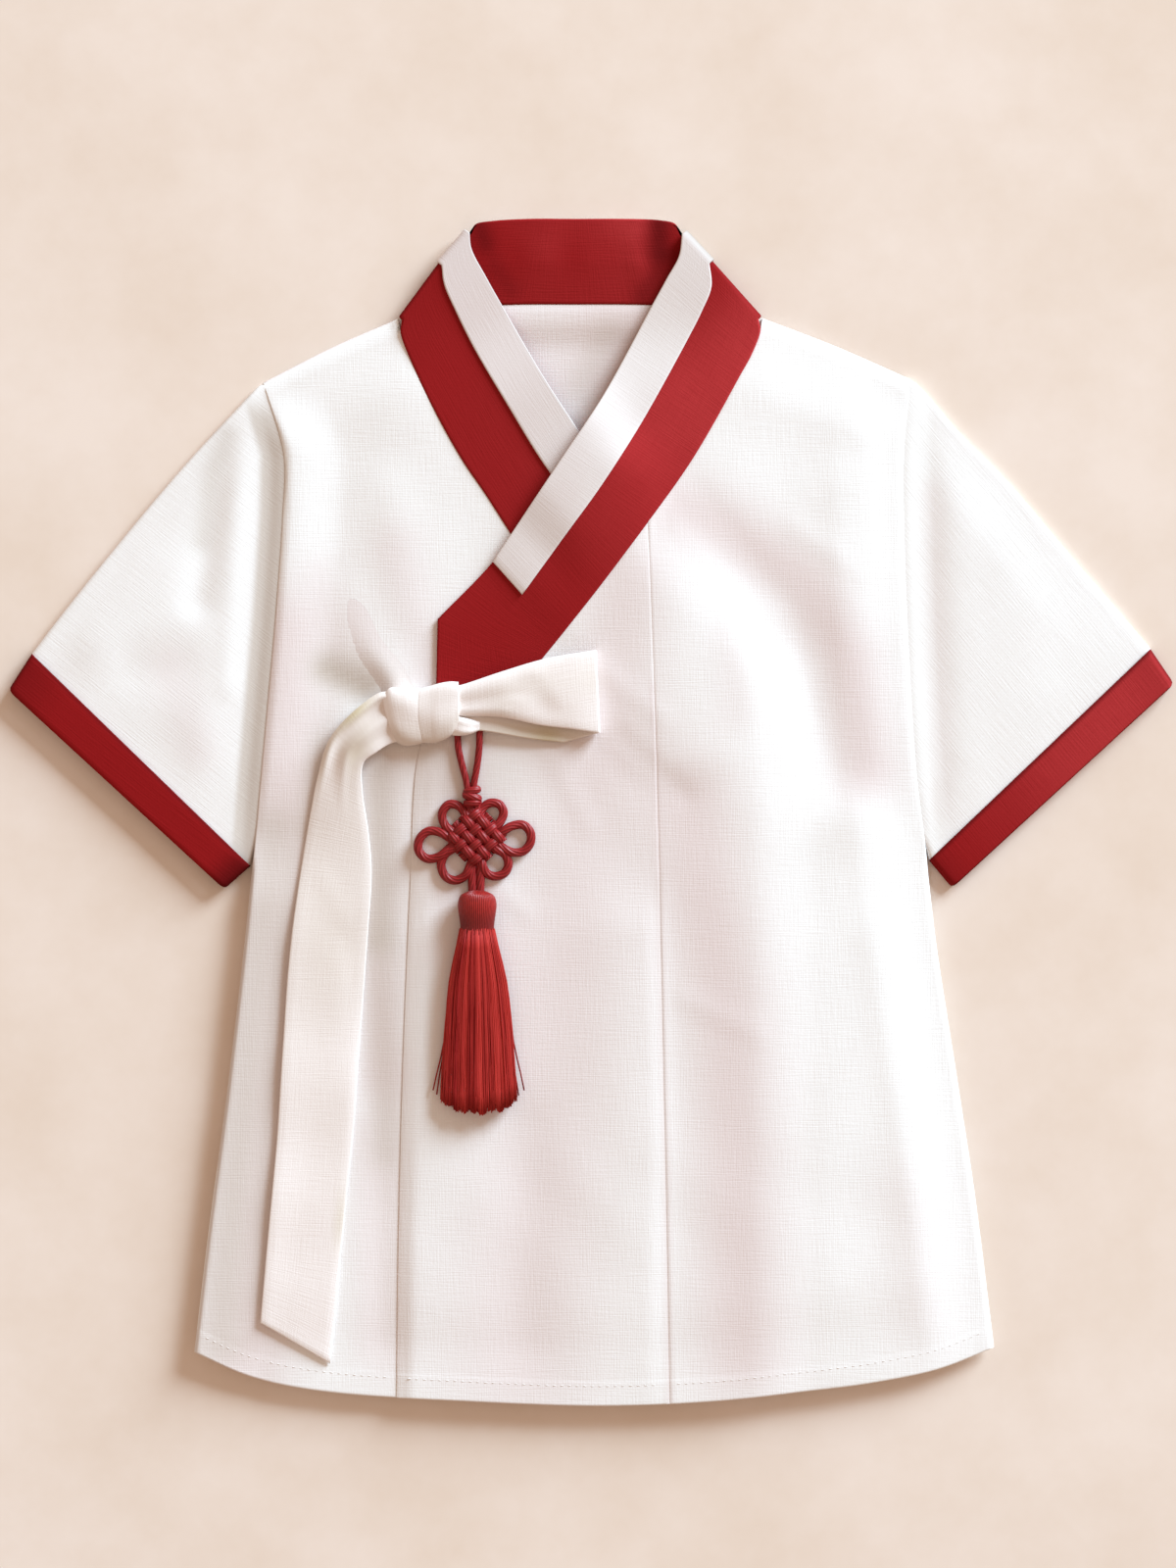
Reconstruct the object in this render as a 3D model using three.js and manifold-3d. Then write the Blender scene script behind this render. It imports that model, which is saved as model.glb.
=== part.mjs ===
// A child's short-sleeved jeogori laid flat, tied with a half bow that carries a norigae pendant.
// Millimetres. +Z up, neck towards +Y, the wearer's left towards +X.
// The back panel's underside lies on z = 0 and the origin is the middle of the base.
import * as THREE from 'three';
import { mergeVertices } from 'three/addons/utils/BufferGeometryUtils.js';
import Module from 'manifold-3d';

const wasm = await Module();
wasm.setup();

// ---- driving sizes ----
const CLOTH = 1.0; // body and sleeve cloth with its turned seams
const COLLAR = 1.6; // collar strip, two layers and a stiffener
const EDGING = 1.0; // white strip on the collar's neck edge
const CUFF = 1.2; // doubled cuff band
const TIE = 1.2; // doubled tie band
const GAP = 0.3; // between layers, and between pieces at a seam
const EASE = 0.3; // more room between the two fronts, which lie loosely on each other
const SEAM_GAP = 1.4 * GAP; // at curved seams, so that straight facets stay apart
const BEND = 0.5; // inner radius where the collar turns over at the neck sides
const CORD = 3.2; // pendant's hanging cord
const KNOT_CORD = 4.2; // cord of the woven knot
const FLOOR_TOP = CLOTH + GAP; // lowest place for a front panel's underside
const MAX_PUFF = 3.4; // most that a front stands off the back
const COLLAR_FOOT = 53; // height on the chest where the front collar ends, under the bow
const RIGHT_FRONT_EDGE = 75; // hidden inner edge of the wearer's right front

// ---- outline of the body: rows are x, y ----
const SIDE_RIGHT = [[-187.3, -254.6], [-180.5, -197], [-172.1, -134.4], [-163.5, -60.8], [-159.1, -17]];
const ARMHOLE_RIGHT = [[-159.1, -17], [-153.8, 39.5], [-148.7, 96], [-145.6, 140], [-145, 168.6],
  [-155.2, 202.6]];
const SIDE_LEFT = [[190.1, -252.8], [181.2, -181.8], [172.4, -124.2], [162.6, -60.8], [157.8, -17]];
const ARMHOLE_LEFT = [[157.8, -17], [153.5, 16.5], [150.2, 66], [147.7, 123.9], [147.4, 170],
  [150.6, 204.4]];
const SHOULDER_RIGHT = [[-155.2, 202.6], [-122, 219.5], [-91.6, 232.6]];
const SHOULDER_LEFT = [[81, 232.9], [115.8, 219.7], [150.6, 204.4]];
const HEM = [[-187.3, -254.6], [-160.6, -266.4], [-126.9, -273.3], [-57.8, -277.9], [3.5, -280],
  [57.4, -277.9], [101.6, -273.2], [131.1, -269.5], [163.5, -262.9], [190.1, -252.8]];
const OVERLAP_EDGE = [[-91.8, -276.2], [-90.9, -199.6], [-89, -124.2], [-85.3, -32.6], [-82, 24.7],
  [-73.6, COLLAR_FOOT - GAP]];
const GORE_SEAM = [[37.2, -278.9], [35.4, -171.8], [31.2, 13.2], [27.1, 136.3]];

// ---- collar rulings: neck edge, the edging's outer edge, seam edge, each x, y ----
const UNDER_FRONT = [
  [61, COLLAR_FOOT, 45, COLLAR_FOOT, 27.5, COLLAR_FOOT],
  [60, 91, 40, 80, 12, 71.5],
  [34, 118, 20, 102.5, 0, 85.5],
  [8, 158, -9, 145.5, -32, 122.5],
  [-5.6, 179.1, -24.3, 166.7, -50, 149.7],
  [-21.5, 203.5, -38.5, 190, -62, 167.5],
  [-39, 233.5, -55, 218, -76.5, 194],
  [-49.5, 252, -64, 236, -85.5, 213.5],
  [-56.5, 265.5, -69.5, 249, -90, 226],
];
const RIGHT_FOLD = [-60, 275, -72.7, 259.2, -91.1, 233.6];
const BACK_STRETCH = [
  [-48, 279, -56, 258.5, -65, 238],
  [-30, 280, -35, 259.5, -39, 239.6],
  [-8, 280, -7.5, 259.8, -7, 239.8],
  [16, 280, 20, 259.5, 25, 239.6],
  [33, 279.5, 42, 258.5, 53, 238],
];
const LEFT_FOLD = [45.1, 274.5, 57.6, 260.2, 80.5, 234];
const OVER_FRONT = [
  [41.3, 262.3, 56.6, 247.7, 79.6, 226.3],
  [35.5, 251.5, 52.1, 236.1, 75.6, 215.8],
  [29, 239.7, 46.7, 225.3, 70.5, 206.3],
  [5.2, 195.6, 23.4, 183, 48, 166.8],
  [-14, 166.5, 4.6, 153.4, 27.1, 137],
  [-30.2, 142.3, -14.2, 127.6, 4.1, 106.4],
  [-46.5, 117.9, -32.6, 102.3, -13.5, 84.1],
  [-72.5, 90.9, -52, 80, -24.5, 70.6],
  [-73.3, COLLAR_FOOT, -57, COLLAR_FOOT, -40, COLLAR_FOOT],
];
const BARE_END = { under: 3, over: 2 }; // rulings at each collar end that the edging leaves bare
const GORE_TOP = 4; // the ruling of OVER_FRONT where the gore's seam meets the collar
const STEPS_BETWEEN = 2; // each span between two rulings is halved

// ---- drape: every fold is a soft ridge or trough along a line, height in mm ----
const BODY_FOLDS = [
  { from: [40, 140], to: [66, 118], width: 17, height: -1.1 },
  { from: [66, 118], to: [126, 30], width: 18, height: -1.5 },
  { from: [30, 110], to: [52, 10], width: 15, height: 0.9 },
  { from: [52, 10], to: [104, -72], width: 15, height: 0.9 },
  { from: [58, -40], to: [82, -246], width: 20, height: -1.6 },
  { from: [14, -93], to: [18, -250], width: 13, height: 0.8 },
  { from: [106, -80], to: [112, -250], width: 15, height: 0.9 },
  { from: [-31, -150], to: [-34, -250], width: 15, height: -0.9 },
  { from: [-132, 104], to: [-100, 70], width: 11, height: 1.0 },
  { from: [-124, 66], to: [-108, 60], width: 12, height: -1.3 },
  { from: [128, 196], to: [138, 60], width: 12, height: 0.8 },
  { from: [-154, -90], to: [-168, -230], width: 12, height: -0.8 },
];
const SLEEVE_FOLDS = [
  { from: [-166, 182], to: [-177, 60], width: 9, height: 0.9 },
  { from: [-190, 165], to: [-187, 96], width: 12, height: -0.9 },
  { from: [-195, 68], to: [-215, 66], width: 14, height: -0.7 },
  { from: [-215, 120], to: [-240, 80], width: 14, height: 0.8 },
  { from: [160, 190], to: [160, 60], width: 9, height: -0.9 },
  { from: [176, 165], to: [182, 40], width: 12, height: 0.9 },
  { from: [205, 130], to: [232, 70], width: 15, height: -0.8 },
];
const CROWN = 2.1; // height of the fronts over the back, away from their edges
const SLEEVE_EDGE = 2.6; // thickness of a folded sleeve at its crest
const SLEEVE_CROWN = 1.2; // what a sleeve's middle adds to that
const CUFF_HEIGHT = 3.3;
const EDGE_BEND = 0.8; // from a folded sleeve's crest to where its faces lie flat
const ARMHOLE_ROLL_RIGHT = 3.2; // the right front rolls over its armhole seam
const ARMHOLE_ROLL_LEFT = 2.2;
const ROLL_WIDTH = 3.5; // from an armhole seam to the top of its roll
const ROLL_REACH = 30; // from an armhole seam to where the roll has died out
const ROLL_FOOT = 0.35; // the roll's height right at the seam, as a share of its top
const NECK_LIFT = 1.0; // how far the collar's neck edge stands off the chest

// ---- small helpers ----
const mix = (a, b, t) => a + (b - a) * t;

function smooth(from, to, value) {
  const t = THREE.MathUtils.clamp((value - from) / (to - from), 0, 1);
  return t * t * (3 - 2 * t);
}

function distanceToLine(x, y, line) {
  let nearest = Infinity;
  for (let i = 0; i + 1 < line.length; i += 1) {
    const [ax, ay] = line[i];
    const dx = line[i + 1][0] - ax;
    const dy = line[i + 1][1] - ay;
    const along = THREE.MathUtils.clamp(((x - ax) * dx + (y - ay) * dy) / (dx * dx + dy * dy), 0, 1);
    nearest = Math.min(nearest, Math.hypot(x - ax - along * dx, y - ay - along * dy));
  }
  return nearest;
}

function foldHeight(x, y, folds) {
  let height = 0;
  for (const fold of folds) {
    const away = distanceToLine(x, y, [fold.from, fold.to]) / fold.width;
    height += fold.height * Math.exp(-away * away);
  }
  return height;
}

function xAtHeight(line, y) {
  const last = line.length - 1;
  for (let i = 0; i < last; i += 1) {
    const [x0, y0] = line[i];
    const [x1, y1] = line[i + 1];
    if (y <= y1 || i === last - 1) {
      return mix(x0, x1, THREE.MathUtils.clamp((y - y0) / (y1 - y0), 0, 1));
    }
  }
  return line[last][0];
}

function yAtWidth(line, x) {
  const flipped = line.map(([px, py]) => [py, px]);
  return xAtHeight(flipped, x);
}

// Points at equal steps along a smooth curve through the given ones.
function along(points, steps) {
  const flat = points.map(([x, y]) => new THREE.Vector3(x, y, 0));
  const curve = new THREE.CatmullRomCurve3(flat, false, 'centripetal');
  return curve.getSpacedPoints(steps).map((p) => [p.x, p.y]);
}

// One run of points from several that share their ends.
const joined = (first, ...others) => others.reduce((all, run) => all.concat(run.slice(1)), first);

// ---- closed bodies ----
function bodyFromTriangles(points, triangles) {
  const positions = new Float32Array(points.length * 3);
  points.forEach((p, i) => positions.set([p.x, p.y, p.z], i * 3));
  let volume = 0;
  for (const [a, b, c] of triangles) {
    volume += points[a].dot(points[b].clone().cross(points[c]));
  }
  const index = triangles.flatMap(([a, b, c]) => (volume < 0 ? [a, c, b] : [a, b, c]));
  const geometry = new THREE.BufferGeometry();
  geometry.setAttribute('position', new THREE.BufferAttribute(positions, 3));
  geometry.setIndex(index);
  geometry.computeVertexNormals();
  return geometry;
}

const quad = (a, b, c, d) => [[a, b, c], [a, c, d]];

// A wall of cloth between two faces, each a grid of points with the same rows and columns.
function wall(lower, upper) {
  const rows = lower.length;
  const columns = lower[0].length;
  const points = [...lower.flat(), ...upper.flat()];
  const low = (i, j) => i * columns + j;
  const high = (i, j) => rows * columns + i * columns + j;
  const triangles = [];
  for (let i = 0; i + 1 < rows; i += 1) {
    for (let j = 0; j + 1 < columns; j += 1) {
      triangles.push(...quad(low(i, j), low(i + 1, j), low(i + 1, j + 1), low(i, j + 1)));
      triangles.push(...quad(high(i, j), high(i, j + 1), high(i + 1, j + 1), high(i + 1, j)));
    }
  }
  for (let i = 0; i + 1 < rows; i += 1) {
    triangles.push(...quad(low(i, 0), high(i, 0), high(i + 1, 0), low(i + 1, 0)));
    const j = columns - 1;
    triangles.push(...quad(low(i, j), low(i + 1, j), high(i + 1, j), high(i, j)));
  }
  for (let j = 0; j + 1 < columns; j += 1) {
    triangles.push(...quad(low(0, j), low(0, j + 1), high(0, j + 1), high(0, j)));
    const i = rows - 1;
    triangles.push(...quad(low(i, j), high(i, j), high(i, j + 1), low(i, j + 1)));
  }
  return bodyFromTriangles(points, triangles);
}

// A tube of cloth, open at both ends: every section is an outer and an inner closed ring.
function openTube(sections) {
  const around = sections[0].outer.length;
  const points = sections.flatMap((s) => [...s.outer, ...s.inner]);
  const outer = (i, k) => i * 2 * around + (k % around);
  const inner = (i, k) => i * 2 * around + around + (k % around);
  const triangles = [];
  for (let k = 0; k < around; k += 1) {
    for (let i = 0; i + 1 < sections.length; i += 1) {
      triangles.push(...quad(outer(i, k), outer(i, k + 1), outer(i + 1, k + 1), outer(i + 1, k)));
      triangles.push(...quad(inner(i, k), inner(i + 1, k), inner(i + 1, k + 1), inner(i, k + 1)));
    }
    const end = sections.length - 1;
    triangles.push(...quad(outer(0, k), inner(0, k), inner(0, k + 1), outer(0, k + 1)));
    triangles.push(...quad(outer(end, k), outer(end, k + 1), inner(end, k + 1), inner(end, k)));
  }
  return bodyFromTriangles(points, triangles);
}

// A filled body through closed rings, with a flat cap at each end.
function loft(rings) {
  const around = rings[0].length;
  const points = rings.flat();
  const triangles = [];
  for (let i = 0; i + 1 < rings.length; i += 1) {
    for (let k = 0; k < around; k += 1) {
      const next = (k + 1) % around;
      const here = i * around;
      triangles.push(...quad(here + k, here + next, here + around + next, here + around + k));
    }
  }
  const last = (rings.length - 1) * around;
  for (let k = 1; k + 1 < around; k += 1) {
    triangles.push([0, k + 1, k], [last, last + k, last + k + 1]);
  }
  return bodyFromTriangles(points, triangles);
}

function toManifold(geometry) {
  const bare = geometry.clone();
  bare.deleteAttribute('normal');
  bare.deleteAttribute('uv');
  const merged = mergeVertices(bare, 1e-4);
  return new wasm.Manifold(new wasm.Mesh({
    numProp: 3,
    vertProperties: Float32Array.from(merged.attributes.position.array),
    triVerts: Uint32Array.from(merged.index.array),
  }));
}

function fromManifold(solid) {
  const mesh = solid.getMesh();
  const geometry = new THREE.BufferGeometry();
  geometry.setAttribute('position', new THREE.BufferAttribute(mesh.vertProperties, 3));
  geometry.setIndex(new THREE.BufferAttribute(mesh.triVerts, 1));
  geometry.computeVertexNormals();
  return geometry;
}

const fused = (geometries) => fromManifold(geometries.map(toManifold).reduce((all, one) => all.add(one)));

// ---- plan grids ----
// Fills four edge runs that share their corners; bottom and top run with x, left and right with y.
function planGrid({ bottom, top, left, right }) {
  const rows = left.length - 1;
  const columns = bottom.length - 1;
  const grid = [];
  for (let i = 0; i <= rows; i += 1) {
    const v = i / rows;
    const row = [];
    for (let j = 0; j <= columns; j += 1) {
      const u = j / columns;
      const place = [0, 1].map((axis) => {
        const across = mix(bottom[j][axis], top[j][axis], v) + mix(left[i][axis], right[i][axis], u);
        const low = mix(bottom[0][axis], bottom[columns][axis], u);
        const high = mix(top[0][axis], top[columns][axis], u);
        return across - mix(low, high, v);
      });
      row.push(place);
    }
    grid.push(row);
  }
  return grid;
}

const liftedRow = (row, height) => row.map(([x, y]) => new THREE.Vector3(x, y, height(x, y)));
const lifted = (grid, height) => grid.map((row) => liftedRow(row, height));

function panel(edges, underside, thickness) {
  const grid = planGrid(edges);
  return wall(lifted(grid, underside), lifted(grid, (x, y) => underside(x, y) + thickness));
}

// ---- heights of the layers ----
const RIGHT_EDGE_LINE = [...SIDE_RIGHT, ...ARMHOLE_RIGHT.slice(1)];
const LEFT_EDGE_LINE = [...SIDE_LEFT, ...ARMHOLE_LEFT.slice(1)];
const NECK_Y = 234;

function shoulderHeight(x) {
  if (x < SHOULDER_RIGHT[2][0]) {
    return yAtWidth(SHOULDER_RIGHT, x);
  }
  return x > SHOULDER_LEFT[0][0] ? yAtWidth(SHOULDER_LEFT, x) : NECK_Y;
}

// The rise of a front's cloth just inside its armhole seam, where it rolls over the sleeve.
function rolledEdge(fromSeam, height) {
  const foot = mix(ROLL_FOOT, 1, smooth(0, ROLL_WIDTH, fromSeam));
  return height * smooth(ROLL_REACH, ROLL_WIDTH, fromSeam) * foot;
}

// How far the fronts stand off their lowest place: flat at the side seams, shoulders and hem.
function puff(x, y) {
  const fromRight = x - xAtHeight(RIGHT_EDGE_LINE, y);
  const fromLeft = xAtHeight(LEFT_EDGE_LINE, y) - x;
  const sides = smooth(0, 34, fromRight) * smooth(0, 34, fromLeft);
  const shoulder = smooth(0, 40, shoulderHeight(x) - y);
  const hem = mix(0.45, 1, smooth(0, 50, y - yAtWidth(HEM, x)));
  const inside = sides * shoulder * hem;
  const rollReach = smooth(-30, 30, y) * smooth(200, 172, y);
  const roll = rolledEdge(fromRight, ARMHOLE_ROLL_RIGHT) + rolledEdge(fromLeft, ARMHOLE_ROLL_LEFT);
  const height = inside * (CROWN + foldHeight(x, y, BODY_FOLDS)) + rollReach * roll;
  return THREE.MathUtils.clamp(height, 0, MAX_PUFF);
}

const frontUnderside = (x, y) => FLOOR_TOP + puff(x, y);

const HIDDEN_COLLAR_LINE = [[-28, 164.4], [-12, 140.3], [17, 101.8], [36, 81.3], [44, COLLAR_FOOT]];
const HIDDEN_EDGING_LINE = [[-30, 196.8], [-15, 173], [-0.5, 151.8]];
const INNER_LIMIT = [[RIGHT_FRONT_EDGE, -290], [RIGHT_FRONT_EDGE, COLLAR_FOOT], [68, 92], [44, 124], [0, 184],
  [-60, 275]];

// The wearer's left front lies over the right one, its collar and its edging, where they are.
function overUnderside(x, y) {
  const covered = 1 - smooth(0, 32, x - xAtHeight(INNER_LIMIT, y));
  const overCollar = 1 - smooth(27, 48, distanceToLine(x, y, HIDDEN_COLLAR_LINE));
  const overEdging = 1 - smooth(15, 40, distanceToLine(x, y, HIDDEN_EDGING_LINE));
  const overPanel = covered * (CLOTH + GAP + EASE);
  const overStrip = overCollar * (COLLAR - CLOTH + EASE);
  return frontUnderside(x, y) + overPanel + overStrip + overEdging * (EDGING + GAP + NECK_LIFT);
}

const overTop = (x, y) => overUnderside(x, y) + CLOTH;
const underTop = (x, y) => frontUnderside(x, y) + CLOTH;

// ---- the body's panels ----
const point = (ruling, column) => [ruling[2 * column], ruling[2 * column + 1]];
const NECK = 0;
const EDGE = 1;
const SEAM = 2;

// Extra rulings halfway between the given ones.
function refined(rulings) {
  const finer = [rulings[0]];
  for (let i = 1; i < rulings.length; i += 1) {
    for (let k = 1; k <= STEPS_BETWEEN; k += 1) {
      finer.push(rulings[i].map((value, c) => mix(rulings[i - 1][c], value, k / STEPS_BETWEEN)));
    }
  }
  return finer;
}

// The cloth edge sewn along a run of collar rulings, one seam gap outside them.
function sewnAlong(rulings) {
  return rulings.map((ruling) => {
    const [nx, ny] = point(ruling, NECK);
    const [sx, sy] = point(ruling, SEAM);
    const reach = SEAM_GAP / Math.hypot(sx - nx, sy - ny);
    return [sx + reach * (sx - nx), sy + reach * (sy - ny)];
  });
}

// An edge run of the given length in steps, with a short first step for the rolled edge.
function withRollStep(points, steps) {
  const even = along(points, steps);
  const length = Math.hypot(even[1][0] - even[0][0], even[1][1] - even[0][1]);
  const near = [0, 1].map((axis) => mix(even[0][axis], even[1][axis], ROLL_WIDTH / length));
  return [even[0], near, ...even.slice(1)];
}

function outlineBetween(line, fromX, toX, steps) {
  const run = [];
  for (let i = 0; i <= steps; i += 1) {
    const x = mix(fromX, toX, i / steps);
    run.push([x, yAtWidth(line, x)]);
  }
  return run;
}

function backPanel() {
  const neckSeam = sewnAlong(refined(BACK_STRETCH)).reverse();
  const outline = joined(
    along(HEM, 14),
    along(SIDE_LEFT, 6),
    along(ARMHOLE_LEFT, 8),
    along(SHOULDER_LEFT, 3).reverse(),
    [SHOULDER_LEFT[0], [78.6, 231.9], ...neckSeam, [-89.2, 231.6], SHOULDER_RIGHT[2]],
    along(SHOULDER_RIGHT, 3).reverse(),
    along(ARMHOLE_RIGHT, 8).reverse(),
    along(SIDE_RIGHT, 6).reverse(),
  );
  const shape = new THREE.Shape(outline.slice(0, -1).map(([x, y]) => new THREE.Vector2(x, y)));
  return new THREE.ExtrudeGeometry(shape, { depth: CLOTH, bevelEnabled: false });
}

function rightFront() {
  const collarSeam = sewnAlong(refined(UNDER_FRONT)).reverse();
  const shoulder = withRollStep(SHOULDER_RIGHT, 4);
  const foot = COLLAR_FOOT - SEAM_GAP;
  const underFoot = [[27.2, foot], [48, foot], [RIGHT_FRONT_EDGE, foot]];
  const top = [...shoulder, ...collarSeam.slice(0, -1), ...underFoot];
  const hem = outlineBetween(HEM, HEM[0][0], RIGHT_FRONT_EDGE, top.length - 2);
  const bottom = [hem[0], [hem[0][0] + ROLL_WIDTH, hem[0][1] - 1.2], ...hem.slice(1)];
  const left = joined(along(SIDE_RIGHT, 10), along(ARMHOLE_RIGHT, 11));
  const right = along([bottom.at(-1), top.at(-1)], left.length - 1);
  return panel({ bottom, top, left, right }, frontUnderside, CLOTH);
}

function leftFront() {
  const gore = GORE_SEAM.map(([x, y]) => [x + GAP, y]);
  const collarSeam = sewnAlong(refined(OVER_FRONT.slice(0, GORE_TOP + 1))).reverse();
  const shoulder = withRollStep([...SHOULDER_LEFT].reverse(), 4).reverse();
  const top = [[gore[3][0], collarSeam[0][1] + 0.2], ...collarSeam.slice(1), ...shoulder];
  const hem = outlineBetween(HEM, gore[0][0], HEM.at(-1)[0], top.length - 2);
  const bottom = [...hem.slice(0, -1), [hem.at(-1)[0] - ROLL_WIDTH, hem.at(-1)[1] - 1.2], hem.at(-1)];
  const right = joined(along(SIDE_LEFT, 10), along(ARMHOLE_LEFT, 11));
  const left = along([bottom[0], ...gore.slice(1, 3), top[0]], right.length - 1);
  return panel({ bottom, top, left, right }, overUnderside, CLOTH);
}

function overlapGore() {
  const collarSeam = sewnAlong(refined(OVER_FRONT.slice(GORE_TOP))).reverse();
  const foot = OVERLAP_EDGE.at(-1)[1];
  const corner = [collarSeam[0][0] + 0.2, foot];
  const top = [OVERLAP_EDGE.at(-1), [-57, foot], corner, ...collarSeam.slice(1, -1), GORE_SEAM[3]];
  const bottom = outlineBetween(HEM, OVERLAP_EDGE[0][0], GORE_SEAM[0][0], top.length - 1);
  const left = along([bottom[0], ...OVERLAP_EDGE.slice(1)], 20);
  const right = along([bottom.at(-1), ...GORE_SEAM.slice(1)], 20);
  return panel({ bottom, top, left, right }, overUnderside, CLOTH);
}

// ---- sleeves and cuffs: flattened tubes, open at both ends ----
const RIGHT_SLEEVE = {
  crest: [[-156.2, 201.8], [-169.5, 188.4], [-194.5, 161.2], [-223.6, 126.5], [-251.4, 91.8], [-264.5, 74.5]],
  armhole: [[-156.2, 201.8], [-146.2, 169.5], [-146.8, 140], [-150, 96], [-155, 39.5], [-160.2, -14.5]],
  underarm: [[-160.2, -14.5], [-161.2, -25.6]],
  cuffEdge: [[-275.4, 57.6], [-173.3, -36.4]],
};
const LEFT_SLEEVE = {
  crest: [[151.6, 203.6], [157.5, 198.2], [173.3, 179.5], [197.3, 155.2], [225.3, 122.2], [251, 92.5],
    [264.4, 76.8]],
  armhole: [[151.6, 203.6], [148.5, 170], [148.9, 123.9], [151.4, 66], [154.7, 16.5], [158.6, -13]],
  underarm: [[158.6, -13], [159.6, -23]],
  cuffEdge: [[275.4, 60.6], [170.4, -35.9]],
};

function sleeveHeight(sleeve) {
  const cuffSeam = [sleeve.crest.at(-1), sleeve.underarm[1]];
  return (x, y) => {
    const crest = smooth(0, 30, distanceToLine(x, y, sleeve.crest));
    const armhole = smooth(5, 34, distanceToLine(x, y, sleeve.armhole));
    const cuff = mix(0.4, 1, smooth(0, 30, distanceToLine(x, y, cuffSeam)));
    return SLEEVE_EDGE + crest * armhole * cuff * (SLEEVE_CROWN + foldHeight(x, y, SLEEVE_FOLDS));
  };
}

// One flattened ring across a sleeve, from its crest to its underarm edge.
function flatRing(row, height, wallThickness) {
  const last = row.length - 1;
  const toward = (from, to) => {
    const length = Math.hypot(to[0] - from[0], to[1] - from[1]);
    return [(to[0] - from[0]) / length, (to[1] - from[1]) / length];
  };
  const crestWay = toward(row[0], row[1]);
  const underWay = toward(row[last], row[last - 1]);
  const ring = (inset, low) => {
    const place = (j, reach, z) => {
      const [dx, dy] = j === 0 ? crestWay : underWay;
      return new THREE.Vector3(row[j][0] + reach * dx, row[j][1] + reach * dy, z);
    };
    const middle = row.slice(1, -1);
    const top = (x, y) => height(x, y) - low;
    const bend = inset + EDGE_BEND;
    return [
      place(0, inset, height(...row[0]) / 2),
      place(0, bend, low),
      ...middle.map(([x, y]) => new THREE.Vector3(x, y, low)),
      place(last, bend, low),
      place(last, inset, height(...row[last]) / 2),
      place(last, bend, top(...row[last])),
      ...middle.map(([x, y]) => new THREE.Vector3(x, y, top(x, y))).reverse(),
      place(0, bend, top(...row[0])),
    ];
  };
  return { outer: ring(0, 0), inner: ring(wallThickness, wallThickness) };
}

function sleeveTube(sleeve) {
  const across = 9;
  const long = 9;
  const grid = planGrid({
    bottom: along(sleeve.armhole, across),
    top: along([sleeve.crest.at(-1), sleeve.underarm[1]], across),
    left: along(sleeve.crest, long),
    right: along(sleeve.underarm, long),
  });
  const height = sleeveHeight(sleeve);
  return openTube(grid.map((row) => flatRing(row, height, CLOTH)));
}

function cuffTube(sleeve) {
  const across = 8;
  const seam = [sleeve.crest.at(-1), sleeve.underarm[1]];
  const inner = along(seam, across);
  const outer = along(sleeve.cuffEdge, across);
  const rowAt = (v) => inner.map(([x, y], j) => [mix(x, outer[j][0], v), mix(y, outer[j][1], v)]);
  const cuffWidth = Math.hypot(outer[0][0] - inner[0][0], outer[0][1] - inner[0][1]);
  const seamShare = GAP / cuffWidth;
  const rows = [seamShare, 0.5, 1].map(rowAt);
  return openTube(rows.map((row) => flatRing(row, () => CUFF_HEIGHT, CUFF)));
}

// ---- collar and edging: one strip each, turned over at both sides of the neck ----
const BACK_STEP_UP = EDGING + GAP; // the edging lies under the back stretch, along its neck edge
const COLUMN_RISE = [BACK_STEP_UP, BACK_STEP_UP, 0];
const FOLD_STEPS = 6;

function foldAxis(fold, side) {
  const [nx, ny] = point(fold, NECK);
  const [sx, sy] = point(fold, SEAM);
  const length = Math.hypot(sx - nx, sy - ny);
  const out = [side * (ny - sy) / length, side * (sx - nx) / length];
  const centres = [NECK, EDGE, SEAM].map((column) => {
    const reach = COLUMN_RISE[column] + COLLAR + BEND;
    const [x, y] = point(fold, column);
    return [x - out[0] * reach, y - out[1] * reach];
  });
  return { out, centres, flat: centres.flat() };
}

const rightAxis = foldAxis(RIGHT_FOLD, -1);
const leftAxis = foldAxis(LEFT_FOLD, 1);

// Heights of the collar's lower face on a front stretch, from its turn at the neck to its foot.
function frontStations(rulings, axis, underside) {
  let travelled = 0;
  let previous = axis.centres[EDGE];
  return rulings.map((ruling) => {
    const [ex, ey] = point(ruling, EDGE);
    travelled += Math.hypot(ex - previous[0], ey - previous[1]);
    previous = [ex, ey];
    const settled = smooth(0, 60, travelled);
    const lift = NECK_LIFT * smooth(110, 150, ey);
    return [NECK, EDGE, SEAM].map((column) => {
      const [x, y] = point(ruling, column);
      const turned = COLUMN_RISE[column] + COLLAR + 2 * BEND;
      const resting = underside(x, y) + lift * [1, 0.5, 0][column];
      return { x, y, z: mix(turned, resting, settled) };
    });
  });
}

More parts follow.
